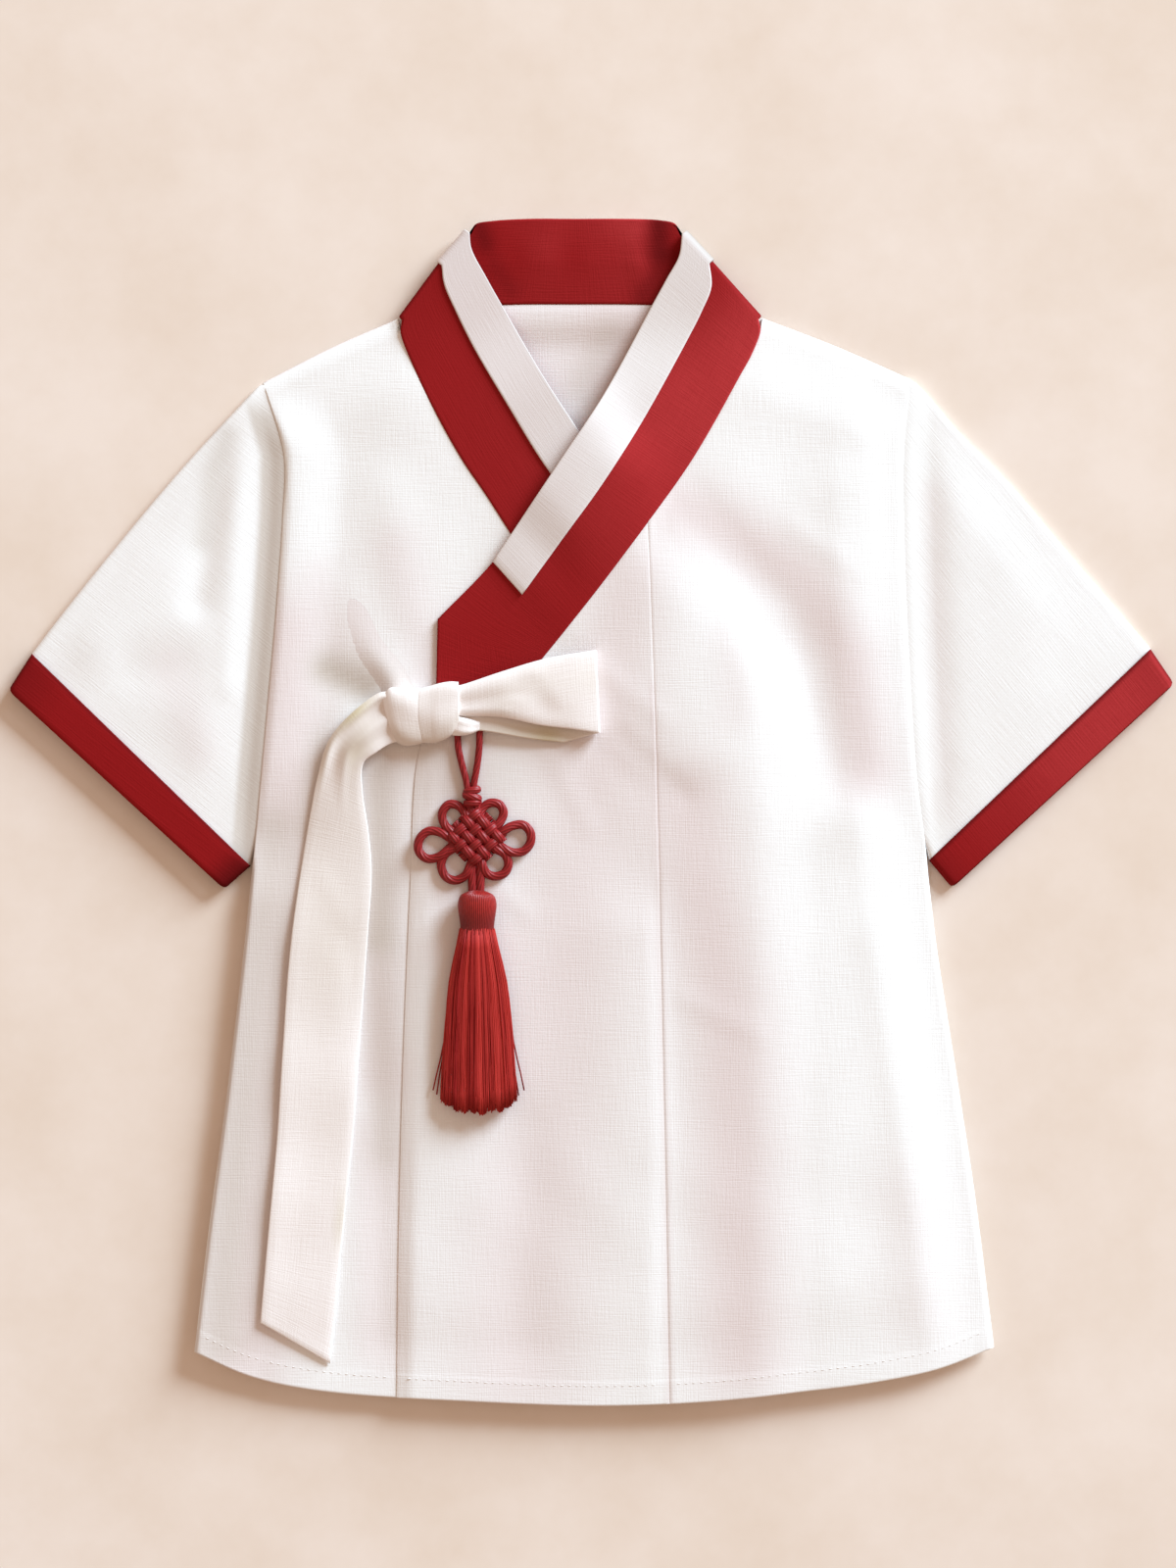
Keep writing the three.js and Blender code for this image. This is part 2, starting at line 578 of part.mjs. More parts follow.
// A strip's two faces, stood off the collar's own outer face by from..to, over the given columns.
function collarStrip(columns, from, to, bareEnds) {
  const inner = [];
  const outer = [];
  const pushFront = (station) => {
    const place = ({ x, y, z }, standOff) => new THREE.Vector3(x, y, z + COLLAR + standOff);
    inner.push(columns.map((c) => place(station[c], from)));
    outer.push(columns.map((c) => place(station[c], to)));
  };
  const pushTurn = (axis, angle) => {
    const place = (c, standOff) => {
      const reach = BEND + COLLAR + standOff;
      const centreHeight = COLUMN_RISE[c] + COLLAR + BEND;
      const sideways = reach * Math.sin(angle);
      const [x, y] = axis.centres[c];
      return new THREE.Vector3(
        x + axis.out[0] * sideways,
        y + axis.out[1] * sideways,
        centreHeight - reach * Math.cos(angle),
      );
    };
    inner.push(columns.map((c) => place(c, from)));
    outer.push(columns.map((c) => place(c, to)));
  };
  const pushBack = (ruling) => {
    const place = (c, standOff) => new THREE.Vector3(...point(ruling, c), COLUMN_RISE[c] - standOff);
    inner.push(columns.map((c) => place(c, from)));
    outer.push(columns.map((c) => place(c, to)));
  };
  const turns = Array.from({ length: FOLD_STEPS + 1 }, (_, k) => Math.PI * k / FOLD_STEPS);

  const underRows = refined([...UNDER_FRONT.slice(bareEnds.under), rightAxis.flat]).slice(0, -1).reverse();
  frontStations(underRows, rightAxis, frontUnderside).reverse().forEach(pushFront);
  [...turns].reverse().forEach((angle) => pushTurn(rightAxis, angle));
  refined([rightAxis.flat, ...BACK_STRETCH, leftAxis.flat]).slice(1, -1).forEach(pushBack);
  turns.forEach((angle) => pushTurn(leftAxis, angle));
  const overShown = OVER_FRONT.slice(0, OVER_FRONT.length - bareEnds.over);
  const overRows = refined([leftAxis.flat, ...overShown]).slice(1);
  frontStations(overRows, leftAxis, overUnderside).forEach(pushFront);
  return wall(inner, outer);
}

const collar = () => collarStrip([NECK, EDGE, SEAM], -COLLAR, 0, { under: 0, over: 0 });
const collarEdging = () => collarStrip([NECK, EDGE], GAP, GAP + EDGING, BARE_END);

// ---- ties: each ruling is x, y of its upper or left edge, then x, y of its lower or right edge ----
const LOOP_BACK = [
  // ..., height, bulge
  [-61.9, 53.5, -61.9, 38.6, 9.7, 0],
  [-51, 57, -51.6, 38.2, 9.7, 0],
  [-30, 64, -30, 34.6, 8.6, 0.2],
  [-13, 70, -13, 32.7, 7.8, 0.2],
];
const LOOP_TURN = { upper: [2.4, 76], lower: [4.2, 37.2], height: 7.7 };
const LOOP_FRONT = [
  [-12, 74, -10, 39.2, 11.6, 0.9],
  [-24.3, 71.5, -24.3, 40.9, 12, 1.2],
  [-42.4, 66, -42.4, 44.6, 12.4, 1.3],
  [-61.9, 59.6, -61.9, 45.4, 12.4, 1.0],
];
const LOOP_BEND = 1.4;
const TAIL = [
  // ..., stand-off from the front
  [-101.2, 55.6, -93.4, 32.6, 3.2],
  [-114, 45.6, -101.3, 28, 4.0],
  [-123.5, 34.3, -107.5, 22.5, 3.2],
  [-128.8, 18, -107.6, 8, 1.6],
  [-132.3, 0.9, -105.2, -8, 0.8],
  [-136.5, -24, -103.6, -28, 0.3],
  [-141.1, -56.5, -105.2, -55, 0.4],
  [-143.4, -80, -107, -80, 0.7],
  [-145, -104.3, -108.8, -104, 0.3],
  [-146.6, -129, -110.6, -129, 0.5],
  [-148.2, -153.3, -112.4, -153.3, 0.3],
  [-150.3, -177, -115, -177.5, 0.6],
  [-152.5, -200, -117.5, -202, 0.3],
  [-154.3, -220, -120, -231, 0.5],
  [-156.1, -240.7, -123.2, -260, 0.3],
];
const TAIL_ARCH = 0.3; // the tail's middle stands this far over its edges
const TAIL_CLEARANCE = 0.15; // least distance of the tail's facets from the front
const SHORT_TIE_CLEARANCE = 0.7;
const SHORT_TIE = [
  // ..., bulge
  [-129, 97, -121, 104, 0.1],
  [-118.5, 84, -108, 92, 0.6],
  [-108.5, 70.5, -96, 77.5, 1.6],
  [-101.5, 60, -88.5, 63.8, 2.4],
];
const KNOT_SECTIONS = [
  // x, y of the upper edge; x, y of the lower edge; underside; top
  [-99.6, 55.4, -92.4, 33.6, 5.6, 8.8],
  [-97.8, 57.4, -90.9, 31.8, 4.9, 11.6],
  [-91, 58.6, -86, 30.9, 4.9, 12.6],
  [-83.8, 59, -80.9, 31.3, 5.3, 11.8],
  [-81.6, 60.2, -78.8, 30.9, 5.9, 13.6],
  [-74, 61, -72.5, 31.8, 7.3, 15],
  [-66.6, 61, -66.2, 33, 9.7, 15.4],
  [-62.4, 60, -62.4, 34.5, 9.8, 14.6],
];
const ACROSS_TIE = 3;

// Puts points across a ruling, arched by its bulge.
function acrossRuling([ax, ay, bx, by], height, bulge) {
  return Array.from({ length: ACROSS_TIE + 1 }, (_, k) => {
    const t = k / ACROSS_TIE;
    const x = mix(ax, bx, t);
    const y = mix(ay, by, t);
    return new THREE.Vector3(x, y, height(x, y) + bulge * 4 * t * (1 - t));
  });
}

const raisedRow = (row, thickness) => row.map((p) => new THREE.Vector3(p.x, p.y, p.z + thickness));
const raised = (grid, thickness) => grid.map((row) => raisedRow(row, thickness));

function tieTail() {
  const lower = TAIL.map((row) => {
    const standOff = row[4];
    return acrossRuling(row, (x, y) => underTop(x, y) + TAIL_CLEARANCE + standOff, TAIL_ARCH);
  });
  return wall(lower, raised(lower, TIE));
}

function shortTie() {
  const height = (x, y) => underTop(x, y) + SHORT_TIE_CLEARANCE;
  const lower = SHORT_TIE.map((row) => acrossRuling(row, height, row[4]));
  return wall(lower, raised(lower, TIE));
}

function bowLoop() {
  const { upper, lower, height } = LOOP_TURN;
  const reach = LOOP_BEND + TIE;
  const turnBulge = 0.6;
  const inner = [];
  const outer = [];
  for (const row of LOOP_BACK) {
    const face = acrossRuling(row, () => row[4], -row[5]);
    outer.push(face);
    inner.push(raisedRow(face, TIE));
  }
  for (let k = 0; k <= FOLD_STEPS; k += 1) {
    const angle = Math.PI * k / FOLD_STEPS;
    const sideways = (radius) => radius * Math.sin(angle) - reach;
    const place = (radius) => acrossRuling(
      [upper[0] + sideways(radius), upper[1], lower[0] + sideways(radius), lower[1]],
      () => height + reach - radius * Math.cos(angle),
      turnBulge * (1 - Math.cos(angle)) / 2,
    );
    outer.push(place(reach));
    inner.push(place(LOOP_BEND));
  }
  for (const row of LOOP_FRONT) {
    const face = acrossRuling(row, () => row[4], row[5]);
    inner.push(face);
    outer.push(raisedRow(face, TIE));
  }
  return wall(inner, outer);
}

function tieKnot() {
  const around = 14;
  const squareness = 0.8;
  const rounded = (value) => Math.sign(value) * Math.abs(value) ** squareness;
  const ring = ([ax, ay, bx, by, low, high]) => Array.from({ length: around }, (_, k) => {
    const angle = 2 * Math.PI * k / around;
    const t = (1 + rounded(Math.cos(angle))) / 2;
    const rise = (1 + rounded(Math.sin(angle))) / 2;
    return new THREE.Vector3(mix(bx, ax, t), mix(by, ay, t), mix(low, high, rise));
  });
  return loft(KNOT_SECTIONS.map(ring));
}

// ---- norigae pendant, hung from the tie and lying on the gore ----
const PENDANT = { x: -54.5, y: -11.7 }; // middle of the woven knot
const PENDANT_CLEARANCE = 0.2; // more than GAP, under the rounded pieces
const CORD_ROUTE = [
  [-59.3, 12.6], [-60.3, 20], [-61.8, 28], [-62.6, 36], [-64.5, 42.2], [-62.6, 47.4], [-58.1, 49.5],
  [-53.6, 47.4], [-51.7, 42.2], [-53.6, 36], [-54.2, 28], [-54.9, 20], [-55.4, 12.9],
];
const TOP_KNOT = { x: -56.2, y: 7.6, halfWidth: 4.1, halfLength: 4, halfHeight: 3.2 };
const KNOT_LOOPS = [
  // x, y from the knot's middle; half sizes of the cord's centreline
  [-9.6, 10.8, 4.7, 4.9],
  [9.2, 10.8, 4.7, 4.9],
  [20.4, -1.6, 6.1, 5.6],
  [-20.9, -2.6, 6.1, 5.6],
  [-10.8, -13.9, 4.9, 4.9],
  [10, -13.2, 4.9, 4.9],
];
const WEAVE_PITCH = 5.4; // between neighbouring cords of the woven middle
const WEAVE_RISE = 1.2;
const WEAVE_REACH = 13;
const HEAD_PROFILE = [
  // radius, y
  [0, -29.4], [3.6, -29.4], [4.2, -31], [4.1, -37.8], [6.9, -38.6], [8.5, -41], [8.65, -43.6], [8.1, -48.5],
  [7.95, -52], [8.4, -55], [8.65, -57.6], [8.2, -58.4], [0, -58.4],
];
const HEAD_FLATNESS = 0.62; // the head's height over its width
const HEAD_RADIUS = 8.65;
const HEAD_MIDDLE = -48;
const TASSEL_X = -53.7;
const SKIRT = [
  // y, half width, half height
  [-57, 8.1, 4.3], [-70, 12, 4.2], [-100, 15.6, 3.7], [-138, 20.2, 3.2],
];
const STRANDS_PER_LAYER = [12, 16, 16, 12];
const LAYER_STEP = 0.575; // between layers, as a share of the skirt's half height
const LAYER_NARROWING = 0.35; // how much narrower the outermost layers are
const STRAND_FILL = 0.62; // a strand's width as a share of its place
const STRAND_HALF_HEIGHT = 0.62;
const SKIRT_SWING = 0.9; // the skirt's end lies this far to the side of the head
const UNEVEN_ENDS = 1.8;

const restOnGore = (x, y) => overTop(x, y) + GAP;

function tube(points, radius, sides, steps) {
  const section = new THREE.Shape(Array.from({ length: sides }, (_, k) => {
    const angle = 2 * Math.PI * (k + 0.5) / sides;
    return new THREE.Vector2(radius * Math.cos(angle), radius * Math.sin(angle));
  }));
  const extrudePath = new THREE.CatmullRomCurve3(points, false, 'centripetal');
  return new THREE.ExtrudeGeometry(section, { steps, bevelEnabled: false, extrudePath });
}

function pendantCord() {
  const height = (x, y) => restOnGore(x, y) + PENDANT_CLEARANCE / 2 + CORD / 2;
  const points = CORD_ROUTE.map(([x, y]) => new THREE.Vector3(x, y, height(x, y)));
  return tube(points, CORD / 2, 8, 30);
}

function pendantTopKnot() {
  const { x, y, halfWidth, halfLength, halfHeight } = TOP_KNOT;
  const geometry = new THREE.SphereGeometry(1, 12, 8);
  geometry.scale(halfWidth, halfLength, halfHeight);
  geometry.translate(x, y, restOnGore(x, y) + PENDANT_CLEARANCE / 2 + halfHeight);
  return geometry;
}

function pendantKnot() {
  const radius = KNOT_CORD / 2;
  const floor = restOnGore(PENDANT.x, PENDANT.y) + PENDANT_CLEARANCE;
  const parts = [];
  for (const direction of [1, -1]) {
    for (const lane of [-1, 0, 1]) {
      const points = [];
      for (let step = -4; step <= 4; step += 1) {
        const run = step / 4 * WEAVE_REACH;
        const side = lane * WEAVE_PITCH;
        const phase = direction > 0 ? 0 : Math.PI;
        const wave = WEAVE_RISE * Math.cos(Math.PI * (run / WEAVE_PITCH + lane) + phase);
        const x = PENDANT.x + (run + side) * Math.SQRT1_2;
        const y = PENDANT.y + direction * (run - side) * Math.SQRT1_2;
        points.push(new THREE.Vector3(x, y, floor + radius + WEAVE_RISE + wave));
      }
      parts.push(tube(points, radius, 6, 9));
    }
  }
  for (const [dx, dy, halfX, halfY] of KNOT_LOOPS) {
    const loop = new THREE.TorusGeometry(1, radius / halfX, 6, 14);
    loop.scale(halfX, halfY, halfX);
    loop.translate(PENDANT.x + dx, PENDANT.y + dy, floor + radius + WEAVE_RISE / 3);
    parts.push(loop);
  }
  return fused(parts);
}

// One lock of the skirt: three-sided, from inside the head to the skirt's end.
function strand(layer, index, centreHeight) {
  const count = STRANDS_PER_LAYER[layer];
  const level = layer - (STRANDS_PER_LAYER.length - 1) / 2;
  const across = 2 * (index + 0.5) / count - 1;
  const uneven = Math.sin(7.3 * index + 2.1 * layer);
  const rings = SKIRT.map(([y, halfWidth, halfHeight], i) => {
    const share = i / (SKIRT.length - 1);
    const spread = halfWidth * Math.sqrt(1 - LAYER_NARROWING * (level / 2) ** 2);
    const half = STRAND_FILL * spread / count;
    const x = TASSEL_X + share * SKIRT_SWING + across * spread + share * 0.12 * uneven;
    const z = centreHeight[i] + level * LAYER_STEP * halfHeight;
    const end = i === SKIRT.length - 1 ? UNEVEN_ENDS * uneven : 0;
    return [
      new THREE.Vector3(x - half, y + end, z - STRAND_HALF_HEIGHT),
      new THREE.Vector3(x + half, y + end, z - STRAND_HALF_HEIGHT),
      new THREE.Vector3(x, y + end, z + STRAND_HALF_HEIGHT),
    ];
  });
  return loft(rings);
}

function pendantTassel() {
  const headRest = restOnGore(TASSEL_X, HEAD_MIDDLE) + PENDANT_CLEARANCE;
  const headCentre = headRest + HEAD_RADIUS * HEAD_FLATNESS;
  const profile = HEAD_PROFILE.map(([radius, y]) => new THREE.Vector2(radius, y)).reverse();
  const head = new THREE.LatheGeometry(profile, 16);
  head.scale(1, 1, HEAD_FLATNESS);
  head.translate(TASSEL_X, 0, headCentre);
  const centreHeight = SKIRT.map(([y, , halfHeight], i) => {
    const lying = restOnGore(TASSEL_X, y) + halfHeight + STRAND_HALF_HEIGHT + GAP;
    return mix(headCentre, lying, i / (SKIRT.length - 1));
  });
  const parts = [head];
  STRANDS_PER_LAYER.forEach((count, layer) => {
    for (let index = 0; index < count; index += 1) {
      parts.push(strand(layer, index, centreHeight));
    }
  });
  return fused(parts);
}

// ---- the garment ----
const finish = (color, roughness) => new THREE.MeshStandardMaterial({ color, roughness, metalness: 0 });
const ivory = { color: 0xf1eeea, roughness: 0.85 };
const red = { color: 0xa3262a, roughness: 0.7 };
const cream = { color: 0xf0e6de, roughness: 0.8 };
const silk = { color: 0xa02a28, roughness: 0.5 };

const pieces = [
  ['back', backPanel(), ivory],
  ['right_front', rightFront(), ivory],
  ['left_front', leftFront(), ivory],
  ['overlap_gore', overlapGore(), ivory],
  ['right_sleeve', sleeveTube(RIGHT_SLEEVE), ivory],
  ['left_sleeve', sleeveTube(LEFT_SLEEVE), ivory],
  ['right_cuff', cuffTube(RIGHT_SLEEVE), red],
  ['left_cuff', cuffTube(LEFT_SLEEVE), red],
  ['collar', collar(), red],
  ['collar_edging', collarEdging(), ivory],
  ['short_tie', shortTie(), cream],
  ['tie_knot', tieKnot(), cream],
  ['tie_bow_loop', bowLoop(), cream],
  ['tie_long_tail', tieTail(), cream],
  ['pendant_cord', pendantCord(), silk],
  ['pendant_top_knot', pendantTopKnot(), silk],
  ['pendant_knot', pendantKnot(), silk],
  ['pendant_tassel', pendantTassel(), silk],
];

const group = new THREE.Group();
for (const [name, geometry, look] of pieces) {
  const mesh = new THREE.Mesh(geometry, finish(look.color, look.roughness));
  mesh.name = name;
  group.add(mesh);
}

export default group;
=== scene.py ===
import math
import random

import bpy
import numpy as np
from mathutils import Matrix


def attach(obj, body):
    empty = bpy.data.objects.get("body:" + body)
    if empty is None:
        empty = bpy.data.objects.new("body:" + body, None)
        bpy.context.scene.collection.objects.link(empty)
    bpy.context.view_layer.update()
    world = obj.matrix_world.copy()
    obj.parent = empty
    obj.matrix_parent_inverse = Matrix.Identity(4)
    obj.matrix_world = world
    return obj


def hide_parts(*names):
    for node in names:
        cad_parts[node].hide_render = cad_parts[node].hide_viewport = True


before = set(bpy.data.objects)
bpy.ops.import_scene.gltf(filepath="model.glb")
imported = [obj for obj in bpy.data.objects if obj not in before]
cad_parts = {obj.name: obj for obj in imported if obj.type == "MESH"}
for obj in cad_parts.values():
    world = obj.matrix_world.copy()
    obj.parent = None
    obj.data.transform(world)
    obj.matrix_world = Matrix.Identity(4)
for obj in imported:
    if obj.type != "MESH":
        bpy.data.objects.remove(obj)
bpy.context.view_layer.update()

# A child's short-sleeved jeogori laid flat, its half bow and the norigae pendant that the bow carries.
# Tables are in millimetres in the frame's axes: +Y to the neck, +X to the wearer's left, the base on z = 0.
MM = 0.001

# ---- thickness of the cloth and the cords ----
CLOTH = 1.0
COLLAR = 1.6
EDGING = 1.0
CUFF = 1.2
TIE = 1.2
GAP = 0.3
EASE = 0.3
SEAM_GAP = -0.35  # sewn edges are pressed into each other, so that a seam shows as a fine valley
BEND = 0.5
CORD = 3.2
KNOT_CORD = 4.2
LOFT = 2.2  # how far the fronts stand off the back at the seams, as cloth that isn't pressed does
FLOOR_TOP = CLOTH + GAP + LOFT
MAX_PUFF = 5.2
COLLAR_FOOT = 53.0
RIGHT_FRONT_EDGE = 75.0

# ---- outline of the body: rows are x, y ----
SIDE_RIGHT = [(-187.3, -254.6), (-180.5, -197), (-172.1, -134.4), (-163.5, -60.8), (-159.1, -17)]
ARMHOLE_RIGHT = [(-159.1, -17), (-153.8, 39.5), (-148.7, 96), (-145.6, 140), (-145, 168.6),
                 (-155.2, 202.6)]
SIDE_LEFT = [(190.1, -252.8), (181.2, -181.8), (172.4, -124.2), (162.6, -60.8), (157.8, -17)]
ARMHOLE_LEFT = [(157.8, -17), (153.5, 16.5), (150.2, 66), (147.7, 123.9), (147.4, 170),
                (150.6, 204.4)]
SHOULDER_RIGHT = [(-155.2, 202.6), (-122, 219.5), (-91.3, 232.9)]
SHOULDER_LEFT = [(80.7, 233.2), (115.8, 219.7), (150.6, 204.4)]
HEM_POINTS = [(-187.3, -254.6), (-160.6, -266.4), (-126.9, -273.3), (-57.8, -277.9), (3.5, -280),
              (57.4, -277.9), (101.6, -273.2), (131.1, -269.5), (163.5, -262.9), (190.1, -252.8)]
OVERLAP_EDGE = [(-91.8, -276.2), (-90.9, -199.6), (-89, -124.2), (-85.3, -32.6), (-82, 24.7),
                (-73.6, COLLAR_FOOT - GAP)]
GORE_SEAM = [(37.2, -278.9), (35.4, -171.8), (31.2, 13.2), (27.1, 136.3)]
NECK_Y = 234.0

# ---- collar rulings: neck edge, the edging's outer edge, seam edge, each x, y ----
UNDER_FRONT = [
    (61, COLLAR_FOOT, 45, COLLAR_FOOT, 27.5, COLLAR_FOOT),
    (60, 91, 40, 80, 12, 71.5),
    (34, 118, 20, 102.5, 0, 85.5),
    (8, 158, -9, 145.5, -32, 122.5),
    (-5.6, 179.1, -24.3, 166.7, -50, 149.7),
    (-21.5, 203.5, -38.5, 190, -62, 167.5),
    (-39, 233.5, -55, 218, -76.5, 194),
    (-49.5, 252, -64, 236, -85.5, 213.5),
    (-56.5, 265.5, -69.5, 249, -90, 226),
]
RIGHT_FOLD = (-60, 275, -72.7, 259.2, -91.1, 233.6)
BACK_STRETCH = [
    (-54.6, 277.5, -64.2, 258.2, -78.5, 235.2),
    (-47, 279, -55.4, 258.5, -65, 238),
    (-30, 280, -35, 259.5, -39, 239.6),
    (-8, 280, -7.5, 259.8, -7, 239.8),
    (16, 280, 20, 259.5, 25, 239.6),
    (33, 279.3, 42, 258.5, 53, 238),
    (39.6, 277.6, 50, 258.2, 67, 235.6),
]
LEFT_FOLD = (45.1, 274.5, 57.6, 260.2, 80.5, 234)
OVER_FRONT = [
    (41.3, 262.3, 56.6, 247.7, 79.6, 226.3),
    (35.5, 251.5, 52.1, 236.1, 75.6, 215.8),
    (29, 239.7, 46.7, 225.3, 70.5, 206.3),
    (5.2, 195.6, 23.4, 183, 48, 166.8),
    (-14, 166.5, 4.6, 153.4, 27.1, 137),
    (-30.2, 142.3, -14.2, 127.6, 4.1, 106.4),
    (-46.5, 117.9, -32.6, 102.3, -13.5, 84.1),
    (-72.5, 90.9, -52, 80, -24.5, 70.6),
    (-73.3, COLLAR_FOOT, -57, COLLAR_FOOT, -40, COLLAR_FOOT),
]
BARE_UNDER = 3  # rulings at the under end that the edging leaves bare
BARE_OVER = 2
GORE_TOP = 4  # the ruling of OVER_FRONT where the gore's seam meets the collar
RULINGS_BETWEEN = 8

# ---- drape ----
# A fold: its points, how wide its left and its right side are, and its height; below zero is a trough.
BODY_FOLDS = [
    ([(36, 132), (62, 110), (98, 74), (118, 22)], 15, 21, -1.7),
    ([(44, 118), (54, 62), (78, -26), (96, -120), (106, -256)], 40, 46, 1.9),
    ([(24, -60), (27, -140), (25, -258)], 36, 9, 1.1),
    ([(128, 150), (134, 66), (128, 0)], 22, 13, 1.1),
    ([(-31, -150), (-34, -250)], 15, 15, -0.7),
    ([(-136, 118), (-118, 96), (-100, 70)], 13, 13, 0.8),
    ([(-126, 66), (-108, 58)], 9, 10, -1.7),
    ([(-98, 150), (-88, 96)], 14, 12, 0.7),
    ([(126, 206), (134, 170), (136, 120)], 9, 12, 0.8),
    ([(-150, -70), (-168, -236)], 10, 12, -0.9),
    ([(-112, -60), (-100, -150), (-98, -250)], 8, 10, -0.7),
    ([(140, -60), (150, -130), (160, -240)], 14, 12, 0.7),
]
SLACK_FOLDS = [
    # the little slanting creases of cloth that has been worn: start, end, width, height
    ((-62, -22), (-30, -48), 4.5, 0.22),
    ((8, 64), (34, 44), 5, 0.25),
    ((14, 36), (44, 8), 5, -0.25),
    ((44, -88), (78, -104), 5, 0.22),
    ((-20, 30), (-2, -6), 6, 0.25),
    ((96, 134), (128, 112), 5, 0.22),
    ((-128, -30), (-112, -58), 5, 0.2),
]
# Painted shade: where the cloth lies low or leans away from the room's light it is painted pinker and greyer:
# points, width, depth from 0 to 1.
BODY_HOLLOWS = [
    ([(-144, 84), (-144, 13), (-152, -120), (-164, -255)], 24, 0.95),
    ([(-99, 22), (-99, -125)], 11, 0.9),
    ([(-98, -125), (-96, -255)], 13, 0.55),
    ([(-106, -150), (-104, -250)], 8, 0.45),
    ([(28.5, 60), (31.2, 13), (35.4, -171), (37, -278)], 1.6, 0.8),
    ([(-2, 13), (-20, -126), (-34, -255)], 38, 0.8),
    ([(45, 4), (65, -102), (71, -255)], 24, 0.95),
    ([(38, 146), (66, 132), (100, 108), (121, 72), (130, 20)], 17, 0.95),
    ([(17, 112), (6, 32)], 24, 0.8),
    ([(-92, 124), (-76, 69)], 14, 0.55),
    ([(-129, 112), (-120, 83)], 11, 0.35),
    ([(66, 84), (68, 48)], 12, 0.35),
    ([(150, -180), (158, -235)], 22, 0.3),
    ([(-60, 64), (-70, 20), (-62, -60)], 18, 0.7),
]
# Painted shade: where the cloth lies in the shade of a fold it is painted browner
BODY_SHADES = [
    ([(-99.5, 20), (-99, -60)], 9, 0.75),
    ([(-99, -60), (-98, -160)], 8, 0.4),
    ([(-125, 67), (-108, 59)], 8.5, 0.95),
    ([(-127, 34), (-134, -10)], 6, 0.45),
    ([(-150, -10), (-160, -100), (-170, -200), (-174, -250)], 12, 0.6),
    ([(-141, -20), (-146, -60), (-150, -104), (-153, -160), (-157, -230)], 4, 0.35),
    ([(-60, -60), (-46, -100)], 12, 0.25),
    ([(32, -30), (35.4, -171), (37, -278)], 1.4, 0.25),
    ([(-96, 34), (-72, 28)], 7, 0.5),
    ([(-70, 12), (-48, 14)], 14, 0.35),
]
# Painted shade on the back, below the neck
BACK_SHADES = [
    ([(8, 226), (-6, 200)], 8, 0.35),
]
# Painted shade on the sleeves: browner where the body or a fold shades them, and pinker in their hollows
SLEEVE_SHADES = [
    # points, width, depth from 0 to 1
    ([(-172, 178), (-179, 160), (-184, 128)], 6.0, 0.5),
    ([(-160, 4), (-165, -30)], 7.0, 0.8),
    ([(163, 12), (165, -12)], 6.0, 0.35),
]
SLEEVE_HOLLOWS = [
    ([(-199, 68), (-186, 30)], 12, 0.4),
    ([(160, 150), (166, 0)], 7, 0.3),
]
SLEEVE_FOLDS = [
    ((-163, 186), (-170, 60), 7, 1.0),
    ((-173, 176), (-186, 100), 8, -1.2),
    ((-195, 68), (-215, 66), 14, -0.7),
    ((-215, 120), (-240, 80), 14, 0.8),
    ((157, 190), (158, 60), 6, -0.5),
    ((166, 170), (171, 30), 9, 0.5),
    ((215, 130), (236, 70), 17, -0.5),
]
CROWN = 2.3  # how high the body's middle stands between its edges
RIGHT_SLOPE = (46, 80)  # how far in from the right edge it rises, beside the waist and beside the chest
LEFT_SLOPE = 34
SHOULDER_SLOPE = 40
HEM_SLOPE = 50
HEM_CROWN = 0.6  # the share of its height that is left at the hem
WAIST_TO_CHEST = (20, 120)
SLEEVE_CROWN = 1.2
ARMHOLE_FOOT = (-30, 30)  # y where the roll beside an armhole starts, and where it is full
ARMHOLE_TOP = (200, 172)
ARMHOLE_ROLL_RIGHT = 2.4
ARMHOLE_ROLL_LEFT = 1.0
ROLL_WIDTH = 3.5
ROLL_REACH = 30.0
ROLL_FOOT = 0.7
NECK_LIFT = 1.0
HEM_DEPTH = 11.0  # of the turned-up hem
HEM_RELIEF = 0.08
OVERLAP_PRESSED = 0.38
EDGE_DROP = 1.3
SIDE_LIFT = 3.6  # how far the wearer's right side curls up off the floor
SIDE_CURL = 45  # how far in from the side it does
CURL_STARTS = (-5, -45)  # y where the curl starts, and where it is full
HEM_LIFT = 0.8
HEM_CURL = 30
OVERLAP_THIN = 0.8  # how much thinner the overlap's pressed edge is
OVERLAP_THINS_OVER = 7
OVERLAP_PRESSED_OVER = 9
INNER_SLOPE = 32  # how far past the under front's hidden edge the over front still rests on it
COLLAR_SLOPE = (27, 48)  # how far beside the hidden collar the over front starts and ends to sink
EDGING_SLOPE = (15, 40)
COLLAR_FOOT_END = 27.2  # x where the hidden end of the collar's seam is
BACK_NECK_ENDS = [(SHOULDER_RIGHT[2][0] + 2.4, 231.6), (SHOULDER_LEFT[0][0] - 2.4, 231.9)]
BACK_RESTS_FROM = 16  # how far in from its edges the back panel lies on the floor
CENTRE_SEAM = (0.8, 2.2, 0.25)  # x, width, height of the ridge on the back panel's outer side
BACK_HEM_RELIEF = 0.12
BACK_RELIEF_MOST = 0.4
SLACK = 0.16  # height of the small unevenness of washed cloth


# ---- small helpers ----
def mix(a, b, share):
    """The value so far on the way from a to b."""
    return a + (b - a) * share


def smooth(start, end, value):
    """0 up to the start and 1 past the end, with a soft step between. The end may be the lower one."""
    share = np.clip((value - start) / (end - start), 0.0, 1.0)
    return share * share * (3.0 - 2.0 * share)


